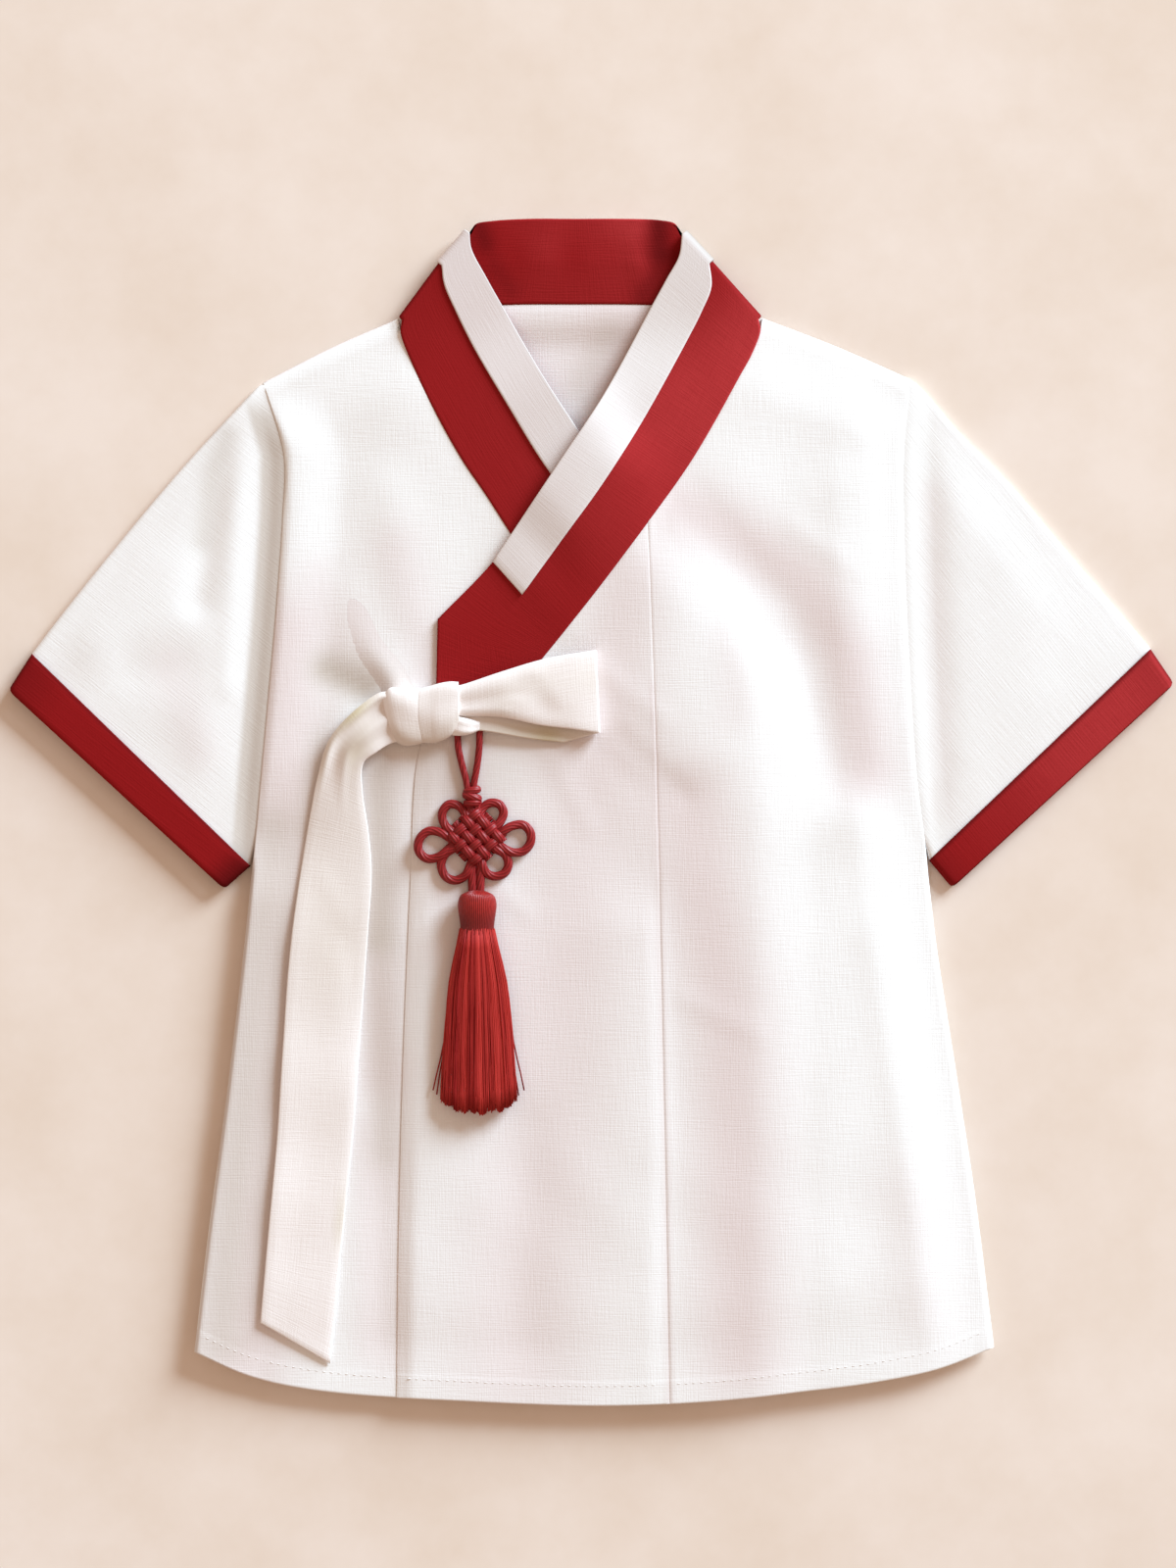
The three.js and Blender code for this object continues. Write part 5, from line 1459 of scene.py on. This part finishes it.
WEAVE_CORD = 4.7
WEAVE_RISE = 1.2
WEAVE_REACH = 12.4
LOOP_CROSSINGS = (0.17, 0.83)  # where along a loop it rises over the weave, as a share of its length
CROSSING_LENGTH = 0.09
STEM_RISE = 0.3
HEART_REACH = 9.6
HEART_MIDDLE = 1.8
HEART_RISE = 1.1
KNOT_FLATNESS = 0.72  # the cords are pressed where the knot lies
HEAD_PROFILE = [
    # radius, y
    (0.2, -36.6), (2.5, -36.8), (4.6, -37.4), (6.0, -38.0), (7.6, -38.9), (8.6, -40.6),
    (9.1, -43.4), (8.9, -46.5), (8.3, -50.5), (8.0, -53.5), (8.0, -56), (7.5, -58.2), (0.2, -58.6),
]
HEAD_FLATNESS = 0.62
HEAD_RADIUS = 8.65
HEAD_MIDDLE = -48.0
TASSEL_X = -53.7
SKIRT = [
    # y, half width, half height
    (-54.5, 8.2, 4.9), (-58, 8.7, 4.9), (-63, 9.9, 4.8), (-70, 11.6, 4.6), (-82, 14.0, 4.3),
    (-105, 16.1, 3.9), (-132, 17.6, 3.4), (-138, 17.8, 3.2),
]
SKIRT_SWING = 0.9
THREADS = 1500
THREAD_RADIUS = 0.26
STRAY_THREADS = [
    # share of the skirt's half width at its start and at its end, y of the end
    (-0.97, -1.24, -131), (-0.95, -1.13, -133), (0.97, 1.22, -131), (0.95, 1.1, -133.5),
]
STRAY_RADIUS = 0.45
CORD_SIDES = 16
KNOT_SIDES = 14


def resting_height(x, y, clearance):
    """How high the underside of a piece that lies on the gore at one place is."""
    return float(rest_on_gore(np.array(x), np.array(y))) + clearance


def on_pendant(points, z):
    """Points given from the woven knot's middle, at their heights."""
    return np.column_stack([PENDANT[0] + points[:, 0], PENDANT[1] + points[:, 1], z])


def make_cord(material):
    """The pendant's hanging loop, up behind the bow's knot and down again."""
    x, y = np.array(CORD_ROUTE).T
    height = rest_on_gore(x, y) + PENDANT_CLEARANCE / 2 + CORD / 2
    route = curve_through(np.column_stack([x, y, height]))
    rings = tube_rings(route, CORD / 2, CORD_SIDES)
    piece = loft("norigae_cord", rings, tube_thread(route, CORD / 2, CORD_SIDES), material)
    return piece, route


def join_cords(name, routes, material, flatness=1.0):
    """One object of several cords. Each route is its points, its diameter, and whether it is closed."""
    points, faces, threads = [], [], []
    count = 0
    sides = KNOT_SIDES
    for route, diameter, closed in routes:
        rings = tube_rings(route, diameter / 2, sides, closed)
        rings[..., 2] = mix(route[:, None, 2], rings[..., 2], flatness)
        rows = len(rings)
        faces.append(grid_faces(rows, sides, count, True))
        if closed:
            first = count + np.arange(sides)
            last = first + (rows - 1) * sides
            faces.append(np.stack([last, np.roll(last, -1), np.roll(first, -1), first], 1))
        else:
            faces += end_caps(rows, sides, count)
        points.append(rings.reshape(-1, 3))
        threads.append(tube_thread(route, diameter / 2, sides).reshape(-1, 2))
        count += rows * sides
    return make_piece(name, np.vstack(points), faces, material, np.vstack(threads))


def make_top_knot(material):
    """The cord's two ends knotted round themselves, in three slanting turns."""
    x, y = TOP_KNOT
    middle = resting_height(x, y, PENDANT_CLEARANCE / 2) + CORD / 2 + 0.7
    routes = []
    for rise, slant, half_wide, half_high in TOP_KNOT_TURNS:
        angle = np.linspace(0, 2 * np.pi, 37)[:-1]
        route = np.column_stack([
            x + half_wide * np.cos(angle),
            y + rise + slant * half_wide * np.cos(angle),
            middle + half_high * np.sin(angle),
        ])
        routes.append((route, TOP_KNOT_CORD, True))
    return join_cords("norigae_top_knot", routes, material)


def make_woven_knot(material):
    """Four cords each way, over and under each other, with the loops and the stems that leave them."""
    base = resting_height(*PENDANT, PENDANT_CLEARANCE)
    routes = []
    for direction in (1, -1):
        for lane in WEAVE_LANES:
            reach = WEAVE_REACH - 0.9 * abs(lane)
            run = np.linspace(-reach, reach, 57)
            side = lane * WEAVE_PITCH
            phase = 0.0 if direction > 0 else math.pi
            wave = WEAVE_RISE * np.cos(np.pi * (run / WEAVE_PITCH + lane) + phase)
            dive = 2.4 * smooth(reach - 4.5, reach, np.abs(run))
            x = PENDANT[0] + (run + side) * math.sqrt(0.5)
            y = PENDANT[1] + direction * (run - side) * math.sqrt(0.5)
            lowest = base + KNOT_FLATNESS * WEAVE_CORD / 2
            z = lowest + WEAVE_RISE + wave * smooth(reach, reach - 4, np.abs(run)) - dive
            route = np.column_stack([x, y, np.maximum(z, lowest)])
            routes.append((route, WEAVE_CORD, False))
    for loop in KNOT_LOOPS:
        route = curve_through(loop, 7)
        share = shares_along(route)
        crossing = sum(np.exp(-((share - place) / CROSSING_LENGTH) ** 2) for place in LOOP_CROSSINGS)
        z = base + KNOT_FLATNESS * KNOT_CORD / 2 + crossing
        routes.append((on_pendant(route, z), KNOT_CORD, False))
    for stem in KNOT_STEMS:
        route = curve_through(stem, 6)
        z = np.full(len(route), base + KNOT_FLATNESS * KNOT_CORD / 2 + STEM_RISE)
        routes.append((on_pendant(route, z), KNOT_CORD, False))
    # the crossings inside the weave, which close it from behind
    ring = np.linspace(0, 2 * np.pi, 5)[:-1] + math.pi / 2
    square = np.column_stack([np.cos(ring), np.sin(ring)])
    heart = []
    for share in np.linspace(-1, 1, 9):
        size = HEART_REACH * math.sqrt(max(0.04, 1 - share * share))
        heart.append(on_pendant(size * square, np.full(4, base + HEART_MIDDLE + HEART_RISE * share)))
    piece = join_cords("norigae_woven_knot", routes, material, KNOT_FLATNESS)
    heart = np.array(heart)
    return piece, loft("norigae_knot_heart", heart, strip_thread(heart), material)


def make_tassel_head(material):
    """The wound head, turned to its profile and pressed a little flat."""
    centre = resting_height(TASSEL_X, HEAD_MIDDLE, PENDANT_CLEARANCE) + HEAD_RADIUS * HEAD_FLATNESS
    profile = resample(curve_through(HEAD_PROFILE, 6), 70)
    around = 48
    angle = once_round(around)
    rings = []
    for radius, y in profile:
        rings.append(np.column_stack([
            TASSEL_X + radius * np.cos(angle),
            np.full(around, y),
            centre + HEAD_FLATNESS * radius * np.sin(angle),
        ]))
    rings = np.array(rings)
    thread = np.stack(np.broadcast_arrays(HEAD_RADIUS * angle[None], rings[:, :, 1]), -1)
    # painted shade: the lower part of the head is painted a darker red
    painted_lower_shade = 0.65 * smooth(-43, -53, rings[:, :, 1]).ravel()
    return loft("norigae_tassel_head", rings, thread, material, {"painted_lower_shade": painted_lower_shade}), centre


def skirt_at(y, column):
    """The skirt's half width (column 1) or half height (column 2) at some y."""
    return np.interp(-y, [-row[0] for row in SKIRT], [row[column] for row in SKIRT])


def make_skirt(material, head_centre):
    """The tassel's threads, from inside the head to the skirt's ragged end, round a core of more."""
    chance = random.Random(7)
    points, faces, threads, tints = [], [], [], []
    count = 0
    steps, sides = 11, 3
    strands = [(None, None, None)] * THREADS + STRAY_THREADS
    for start, end_share, end in strands:
        stray = start is not None
        angle = chance.uniform(0, 2 * math.pi)
        depth = math.sqrt(chance.uniform(0.55, 1.0))
        across, level = depth * math.cos(angle), depth * math.sin(angle)
        if stray:
            across, level = start, -0.5
        else:
            end = SKIRT[-1][0] - 1.8 + 5.0 * across * across + chance.uniform(-2.2, 1.4)
            end -= 1.3 * math.sin(8 * across + 0.6) * math.sin(19 * across)
        drift, phase = chance.uniform(0.1, 0.7), chance.uniform(0, 6.28)
        y = np.linspace(SKIRT[0][0] - chance.uniform(0.0, 1.6), end, steps)
        share = (y - y[0]) / (y[-1] - y[0])
        spread, half_height = skirt_at(y, 1), skirt_at(y, 2)
        keep = np.full(steps, across)
        if stray:
            keep = mix(start, end_share, smooth(0.62, 1.1, share))
        x = TASSEL_X + share * SKIRT_SWING + keep * spread + drift * share * np.sin(4 * share + phase)
        lying = rest_on_gore(x, y) + half_height + THREAD_RADIUS + GAP
        z = mix(head_centre, lying, smooth(0, 0.9, share)) + level * half_height
        radius = STRAY_RADIUS if stray else THREAD_RADIUS
        rings = tube_rings(np.column_stack([x, y, z]), radius, sides)
        points.append(rings.reshape(-1, 3))
        faces += [grid_faces(steps, sides, count, True), *end_caps(steps, sides, count)]
        threads.append(tube_thread(y[:, None], radius, sides).reshape(-1, 2))
        clump = 0.5 + 0.3 * math.sin(13 * across + 1.0) + 0.2 * math.sin(31 * across)
        # painted light: threads on the skirt's side towards the light are tinted lighter, and those on the
        # other side darker
        painted_light = 0.12 * math.sin(2.2 * across)
        tint = 0.15 if stray else min(max(0.5 * clump + 0.45 * chance.random() + painted_light, 0.0), 1.0)
        tints.append(np.full(steps * sides, tint))
        count += steps * sides
    around = 40
    angle = once_round(around)
    core = []
    for y in np.linspace(SKIRT[0][0], SKIRT[-1][0] + 7, 14):
        share = (y - SKIRT[0][0]) / (SKIRT[-1][0] - SKIRT[0][0])
        x = TASSEL_X + share * SKIRT_SWING + 0.8 * skirt_at(y, 1) * np.cos(angle)
        half_height = skirt_at(y, 2)
        lying = rest_on_gore(x, np.full(around, y)) + half_height + THREAD_RADIUS + GAP
        middle = mix(head_centre, lying, smooth(0, 0.9, share))
        core.append(np.column_stack([x, np.full(around, y), middle + 0.7 * half_height * np.sin(angle)]))
    core = np.array(core)
    points.append(core.reshape(-1, 3))
    faces.append(grid_faces(len(core), around, count, True))
    threads.append(strip_thread(core).reshape(-1, 2))
    tints.append(np.full(len(core) * around, 0.1))
    faces += end_caps(len(core), around, count)
    return make_piece("norigae_skirt", np.vstack(points), faces, material, np.vstack(threads),
                      {"tint": np.concatenate(tints)})


# ---- stitches ----
STITCH_LONG = 2.2
STITCH_STEP = 3.6
STITCH_THICK = 0.34
STITCH_TAPER = [0.25, 0.8, 1.0, 0.8, 0.25]
STITCH_BOW = 0.12
STITCH_SUNK = 0.1
STITCHES_UNDER_FOLD = 1.6  # how far below the turned hem's upper edge they run


def make_stitches(name, line, material):
    """A row of running stitches along points on the cloth, each a short thread with tapered ends."""
    travelled = lengths_along(line)
    points, walls, caps = [], [], []
    sides, rings = 6, len(STITCH_TAPER)
    share = np.linspace(0, 1, rings)
    radius = STITCH_THICK / 2 * np.array(STITCH_TAPER)
    for k in range(int(travelled[-1] / STITCH_STEP)):
        places = (k + 0.3) * STITCH_STEP + STITCH_LONG * share
        route = np.stack([np.interp(places, travelled, line[:, axis]) for axis in range(3)], 1)
        route[:, 2] += STITCH_BOW * np.sin(math.pi * share) - STITCH_SUNK
        first = k * sides * rings
        points.append(tube_rings(route, radius, sides).reshape(-1, 3))
        walls.append(grid_faces(rings, sides, first, True))
        caps += end_caps(rings, sides, first)
    return make_piece(name, np.vstack(points), walls + caps, material)


def hem_stitches(start, end, top):
    """The run of a panel's hem stitches, on its upper face."""
    x = np.linspace(start, end, 160)
    y = y_at(HEM, x) + HEM_DEPTH - STITCHES_UNDER_FOLD
    return np.column_stack([x, y, top(x, y) + hem_relief(x, y)])


# ---- materials ----
COLOUR_A = 6  # a mix node's sockets for two colours, and for what they give
COLOUR_B = 7
MIXED = 2


def add(tree, kind, inputs=None, **settings):
    """Adds one node with its settings. An input is a value, or a socket of another node."""
    node = tree.nodes.new(kind)
    for name, value in settings.items():
        setattr(node, name, value)
    for key, value in (inputs or {}).items():
        if isinstance(value, bpy.types.NodeSocket):
            tree.links.new(value, node.inputs[key])
        else:
            node.inputs[key].default_value = value
    return node


def new_material(name, **surface):
    """An empty material with one shader, whose plain values are set on its own sockets."""
    material = bpy.data.materials.new(name)
    material.use_nodes = True
    tree = material.node_tree
    tree.nodes.clear()
    shader = add(tree, "ShaderNodeBsdfPrincipled")
    for key, value in surface.items():
        shader.inputs[key.replace("_", " ")].default_value = value
    output = add(tree, "ShaderNodeOutputMaterial")
    tree.links.new(shader.outputs["BSDF"], output.inputs["Surface"])
    return material, tree, shader


def plain_weave(tree, pitch):
    """Height of a plain weave from 0 to 1, its threads the given millimetres apart."""
    thread = add(tree, "ShaderNodeAttribute", attribute_name="thread")
    parts = add(tree, "ShaderNodeSeparateXYZ", {0: thread.outputs["Vector"]})
    waves = []
    for axis in ("X", "Y"):
        turn = add(tree, "ShaderNodeMath", {0: parts.outputs[axis], 1: math.pi / pitch}, operation="MULTIPLY")
        waves.append(add(tree, "ShaderNodeMath", {0: turn.outputs[0]}, operation="SINE"))
    crossing = add(tree, "ShaderNodeMath", {0: waves[0].outputs[0], 1: waves[1].outputs[0]},
                   operation="MULTIPLY")
    height = add(tree, "ShaderNodeMath", {0: crossing.outputs[0], 1: 0.5, 2: 0.5}, operation="MULTIPLY_ADD")
    return thread, height


def slubs(tree, thread, across, along, detail=2.0):
    """Noise drawn out along one thread direction: how many to the millimetre across and along."""
    stretch = add(tree, "ShaderNodeVectorMath", {0: thread.outputs["Vector"], 1: (across, along, 1.0)},
                  operation="MULTIPLY")
    return add(tree, "ShaderNodeTexNoise", {"Vector": stretch.outputs[0], "Scale": 1.0, "Detail": detail,
                                            "Roughness": 0.6})


def woven(name, light, dark, hollow_shade_colour, shade_colour, pitch, bump_depth, **surface):
    """A plain-woven cloth: faint thread crossings and uneven threads in its height and its colour, with
    painted shade mixed into its colour where a piece asks for it.
    """
    material, tree, shader = new_material(name, **surface)
    thread, weave = plain_weave(tree, pitch)
    warp = slubs(tree, thread, 1.5, 0.07)
    weft = slubs(tree, thread, 0.07, 1.5)
    both = add(tree, "ShaderNodeMath", {0: warp.outputs["Fac"], 1: weft.outputs["Fac"]}, operation="ADD")
    slub = add(tree, "ShaderNodeMapRange", {"Value": both.outputs[0], "From Min": 0.7, "From Max": 1.3})
    patches = slubs(tree, thread, 0.03, 0.022, detail=4.0)
    patch = add(tree, "ShaderNodeMapRange", {"Value": patches.outputs["Fac"], "From Min": 0.4,
                                             "From Max": 0.7, "To Max": 0.4})
    uneven = add(tree, "ShaderNodeMath", {0: slub.outputs[0], 1: 0.6, 2: patch.outputs[0]},
                 operation="MULTIPLY_ADD", use_clamp=True)
    cloth = add(tree, "ShaderNodeMix", {0: uneven.outputs[0], COLOUR_A: srgb(light), COLOUR_B: srgb(dark)},
                data_type="RGBA")
    # painted shade: a pinker grey where the cloth lies low or leans away from the light, and a browner colour
    # where a fold shades it
    painted_hollow_shade = add(tree, "ShaderNodeAttribute", attribute_name="painted_hollow_shade")
    hollowed = add(tree, "ShaderNodeMix", {0: painted_hollow_shade.outputs["Fac"], COLOUR_A: cloth.outputs[MIXED],
                                           COLOUR_B: srgb(hollow_shade_colour)}, data_type="RGBA")
    shade = add(tree, "ShaderNodeAttribute", attribute_name="shade")
    toned = add(tree, "ShaderNodeMix", {0: shade.outputs["Fac"], COLOUR_A: hollowed.outputs[MIXED],
                                        COLOUR_B: srgb(shade_colour)}, data_type="RGBA")
    tree.links.new(toned.outputs[MIXED], shader.inputs["Base Color"])
    height = add(tree, "ShaderNodeMath", {0: weave.outputs[0], 1: 0.15, 2: slub.outputs[0]},
                 operation="MULTIPLY_ADD")
    bump = add(tree, "ShaderNodeBump", {"Height": height.outputs[0], "Strength": 1.0,
                                        "Distance": bump_depth * MM})
    tree.links.new(bump.outputs["Normal"], shader.inputs["Normal"])
    return material


def twisted_cord(name, light, dark, around, pitch, bump_depth, **surface):
    """Silk laid round a cord in a steep twist: how many yarns round it, and millimetres for one turn."""
    material, tree, shader = new_material(name, **surface)
    thread = add(tree, "ShaderNodeAttribute", attribute_name="thread")
    parts = add(tree, "ShaderNodeSeparateXYZ", {0: thread.outputs["Vector"]})
    lean = add(tree, "ShaderNodeMath", {0: parts.outputs["Y"], 1: 2 * math.pi / pitch}, operation="MULTIPLY")
    turn = add(tree, "ShaderNodeMath", {0: parts.outputs["X"], 1: around, 2: lean.outputs[0]},
               operation="MULTIPLY_ADD")
    ridge = add(tree, "ShaderNodeMath", {0: turn.outputs[0]}, operation="SINE")
    noise = slubs(tree, thread, 1.2, 0.5)
    share = add(tree, "ShaderNodeMath", {0: ridge.outputs[0], 1: 0.25, 2: noise.outputs["Fac"]},
                operation="MULTIPLY_ADD", use_clamp=True)
    silk = add(tree, "ShaderNodeMix", {0: share.outputs[0], COLOUR_A: srgb(dark), COLOUR_B: srgb(light)},
               data_type="RGBA")
    # painted shade: a darker red, on the lower part of the tassel's head
    painted_lower_shade = add(tree, "ShaderNodeAttribute", attribute_name="painted_lower_shade")
    lower_shaded_silk = add(tree, "ShaderNodeMix", {0: painted_lower_shade.outputs["Fac"], COLOUR_A: silk.outputs[MIXED],
                                        COLOUR_B: srgb("#5e0c0e")}, data_type="RGBA")
    tree.links.new(lower_shaded_silk.outputs[MIXED], shader.inputs["Base Color"])
    bump = add(tree, "ShaderNodeBump", {"Height": ridge.outputs[0], "Strength": 1.0,
                                        "Distance": bump_depth * MM})
    tree.links.new(bump.outputs["Normal"], shader.inputs["Normal"])
    return material


def floss(name, light, dark, **surface):
    """Loose silk threads, each dyed a little differently, with painted light that makes those on the side
    towards the light lighter and those on the other side darker.
    """
    material, tree, shader = new_material(name, **surface)
    tint = add(tree, "ShaderNodeAttribute", attribute_name="tint")
    silk = add(tree, "ShaderNodeMix", {0: tint.outputs["Fac"], COLOUR_A: srgb(dark), COLOUR_B: srgb(light)},
               data_type="RGBA")
    tree.links.new(silk.outputs[MIXED], shader.inputs["Base Color"])
    return material


def pale_paper():
    """Faintly clouded warm paper for the floor."""
    material, tree, shader = new_material("pale_paper", Roughness=0.95)
    place = add(tree, "ShaderNodeTexCoord")
    clouds = add(tree, "ShaderNodeTexNoise", {"Vector": place.outputs["Object"], "Scale": 9.0,
                                              "Detail": 5.0, "Roughness": 0.65})
    share = add(tree, "ShaderNodeMapRange", {"Value": clouds.outputs["Fac"], "From Min": 0.35,
                                             "From Max": 0.65})
    paper = add(tree, "ShaderNodeMix", {0: share.outputs[0], COLOUR_A: srgb("#ead8c9"),
                                        COLOUR_B: srgb("#f2e3d8")}, data_type="RGBA")
    tree.links.new(paper.outputs[MIXED], shader.inputs["Base Color"])
    return material


# ---- stage ----
ROOM_LIGHT = (0.545, 0.410, 0.320)  # warm, from pale walls: what falls on the cloth from all round
WINDOW_LIGHT = (0.485, 0.615, 0.705)  # what a flat cloth gets from the soft light at the upper right
CAMERA_HEIGHT = 2.4
PICTURE_HEIGHT = 0.740  # of the plane that the garment lies in
PICTURE_MIDDLE = (-0.0016, 0.0132)
GARMENT_PLANE = 0.005
SENSOR = 36.0
FLOOR_HALF = 6.0
FLOOR_DROP = 0.0003  # so that the floor and the garment's underside don't share a plane


def make_camera():
    """A camera straight above the garment, with the given height of its plane in view."""
    data = bpy.data.cameras.new("camera")
    data.sensor_width = SENSOR
    data.lens = SENSOR * CAMERA_HEIGHT / PICTURE_HEIGHT
    camera = new_object("camera", data)
    camera.location = (*PICTURE_MIDDLE, GARMENT_PLANE + CAMERA_HEIGHT)
    bpy.context.scene.camera = camera


def make_light(name, away, side, height, size, share):
    """A square soft light that faces the garment from the given side, in degrees from +X.

    share is what it gives a flat white cloth in each colour.
    """
    turn, rise = math.radians(side), math.radians(height)
    strongest = max(share)
    data = bpy.data.lights.new(name, "AREA")
    data.shape = "SQUARE"
    data.size = size
    data.energy = strongest * (math.pi * away) ** 2 / math.sin(rise)
    data.color = [value / strongest for value in share]
    light = new_object(name, data)
    way = np.array([math.cos(turn) * math.cos(rise), math.sin(turn) * math.cos(rise), math.sin(rise)])
    light.location = away * way
    light.rotation_euler = (math.pi / 2 - rise, 0.0, turn + math.pi / 2)


def make_stage():
    """A pale floor, one large soft light from the upper right, and a room that glows evenly."""
    corners = [(-1, -1), (1, -1), (1, 1), (-1, 1)]
    mesh = bpy.data.meshes.new("floor")
    mesh.from_pydata([(FLOOR_HALF * x, FLOOR_HALF * y, -FLOOR_DROP) for x, y in corners], [], [(0, 1, 2, 3)])
    mesh.materials.append(pale_paper())
    new_object("floor", mesh)
    make_light("window", away=14.0, side=46, height=18.0, size=6.6, share=WINDOW_LIGHT)
    world = bpy.data.worlds.new("soft_room")
    world.use_nodes = True
    background = world.node_tree.nodes["Background"]
    background.inputs["Color"].default_value = (*ROOM_LIGHT, 1.0)
    background.inputs["Strength"].default_value = 1.0
    bpy.context.scene.world = world
    bpy.context.scene.view_settings.view_transform = "Standard"


def stand_for(piece, slot, *nodes):
    """The piece lies on the garment's one body, and replaces these solids."""
    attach(piece, "root")
    if nodes:
        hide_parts(*nodes)


# ---- the garment ----
make_camera()

# Braided silk cord: a soft gloss, and fine slanting yarns
silk_cord = twisted_cord("braided_silk_cord", "#a62628", "#6e1316", 4.0, 5.0, 0.10, Roughness=0.42,
                         Specular_IOR_Level=0.3)
# Silk threads drawn tight over the tassel's head
drawn_silk = twisted_cord("drawn_silk_thread", "#b52a24", "#7a1517", 7.0, 400.0, 0.10, Roughness=0.36,
                          Specular_IOR_Level=0.35)
# Silk floss: glossy separate threads
silk_floss = floss("silk_floss", "#cc4038", "#8e1c1d", Roughness=0.55, Specular_IOR_Level=0.1)
# Washed and pressed cotton and linen: matt, with slubs, and painted shade that makes it pinker in its hollows
# and browner where folds shade it
ivory_linen = woven("washed_cotton_linen", "#f9f8f8", "#f2f0ef", "#e9dcdb", "#cdc2b8", 1.15, 0.06,
                    Roughness=0.9, Specular_IOR_Level=0.2)
# Piece-dyed ramie: matt and dry, with painted shade that makes it deeper where it leans away from the light
red_ramie = woven("dyed_red_ramie", "#b8383a", "#ac2f32", "#8d1416", "#5c0c0e", 1.0, 0.09,
                  Roughness=0.85, Specular_IOR_Level=0.06)
# Starched white cotton: finer and smoother than the body's cloth, with a greyer painted shade and a dark one
# for its turn that faces the light
starched_cotton = woven("starched_white_cotton", "#efebea", "#e8e3e1", "#e0d4d2", "#94897f", 0.9, 0.05,
                        Roughness=0.8, Specular_IOR_Level=0.2)
# Soft cotton of the ties: creamier than the body, with beige and yellowish painted shade
soft_cotton = woven("soft_cream_cotton", "#f9f1ef", "#f2e9e6", "#dfd3c9", "#cfc0a2", 1.0, 0.06,
                    Roughness=0.85, Specular_IOR_Level=0.2)

cord_piece, cord_route = make_cord(silk_cord)
top_knot = make_top_knot(silk_cord)
woven_knot, knot_heart = make_woven_knot(silk_cord)
make_stage()

stand_for(cord_piece, "red_cord", "pendant_cord")
stand_for(top_knot, "red_cord", "pendant_top_knot")
stand_for(woven_knot, "red_cord", "pendant_knot")
stand_for(knot_heart, "red_cord")
head, head_centre = make_tassel_head(drawn_silk)
stand_for(head, "red_silk_floss", "pendant_tassel")
stand_for(make_skirt(silk_floss, head_centre), "red_silk_floss")

stand_for(make_back(ivory_linen), "ivory_cloth", "back")
right_plan = right_front_plan()
front_right = front_panel("front_right", right_plan, front_underside, ivory_linen)
stand_for(front_right, "ivory_cloth", "right_front")
left_plan = left_front_plan()
front_left = front_panel("front_left", left_plan, over_underside, ivory_linen)
stand_for(front_left, "ivory_cloth", "left_front")
overlap_plan = gore_plan()
front_gore = front_panel("front_gore", overlap_plan, over_underside, ivory_linen)
stand_for(front_gore, "ivory_cloth", "overlap_gore")
stand_for(make_sleeve("sleeve_right", RIGHT_SLEEVE, ivory_linen), "ivory_cloth", "right_sleeve")
stand_for(make_sleeve("sleeve_left", LEFT_SLEEVE, ivory_linen), "ivory_cloth", "left_sleeve")
stand_for(make_cuff("cuff_right", RIGHT_SLEEVE, red_ramie), "red_cloth", "right_cuff")
stand_for(make_cuff("cuff_left", LEFT_SLEEVE, red_ramie), "red_cloth", "left_cuff")

inner, outer, turned = collar_strip((NECK, EDGE, SEAM), -COLLAR, 0.0, 0, 0)
# painted shade: the collar's red is darker at its turns at the neck, and where its tables put light and shade
tones = {
    "painted_hollow_shade": np.maximum(tone_at(outer, COLLAR_TONES), 0.9 * turned),
    "shade": np.maximum(0.6 * turned, depth_of(outer[..., 0], outer[..., 1], COLLAR_SHADES)),
}
collar = cloth_shell("collar_band", inner, outer, strip_thread(outer), red_ramie, tones)
stand_for(collar, "red_cloth", "collar")
inner, outer, turned = collar_strip((NECK, EDGE), GAP / 2, GAP / 2 + EDGING, BARE_UNDER, BARE_OVER)
# painted shade: the edging is greyer where its tones say and at its turns; its turn at x above 0, which faces
# the light, and the under front's neck edge are painted darker still
tones = {
    "painted_hollow_shade": np.maximum(tone_at(outer, EDGING_TONES), 0.9 * turned),
    "shade": 0.9 * turned * (outer[..., 0] > 0),
}
tones["shade"][:len(outer) // 2, 0] = UNDER_EDGE_SHADE
edging = cloth_shell("collar_white_edging", inner, outer, strip_thread(outer), starched_cotton, tones)
stand_for(edging, "edging_cloth", "collar_edging")

stand_for(make_tail(soft_cotton), "tie_cloth", "tie_long_tail")
stand_for(make_short_tie(ivory_linen), "tie_cloth", "short_tie")
stand_for(make_wrap("tie_knot_main_wrap", MAIN_WRAP, soft_cotton, 0.9, WRAP_BOW), "tie_cloth", "tie_knot")
stand_for(make_wrap("tie_knot_second_wrap", SECOND_WRAP, soft_cotton, 0.9, WRAP_BOW), "tie_cloth")
stand_for(make_wrap("tie_knot_pucker", PUCKER, soft_cotton, 0.0, 0.0), "tie_cloth")
stand_for(make_loop(soft_cotton), "tie_cloth", "tie_bow_loop")

# Cotton sewing thread: matt, and nearly the colour of the cloth it lies on
hem_thread = woven("cotton_sewing_thread", "#ebe6e4", "#e4dfdc", "#dad1cd", "#ccc2b9", 0.4, 0.02,
                   Roughness=0.8, Specular_IOR_Level=0.2)
HEM_STITCHES = [
    # panel, x of the first and the last stitch, the face that they lie on
    ("right", -183, -94.5, under_top),
    ("gore", -88, 34, over_top),
    ("left", 39, 186, over_top),
]
for part, start, end, top in HEM_STITCHES:
    stand_for(make_stitches("stitches_hem_" + part, hem_stitches(start, end, top), hem_thread), "ivory_cloth")
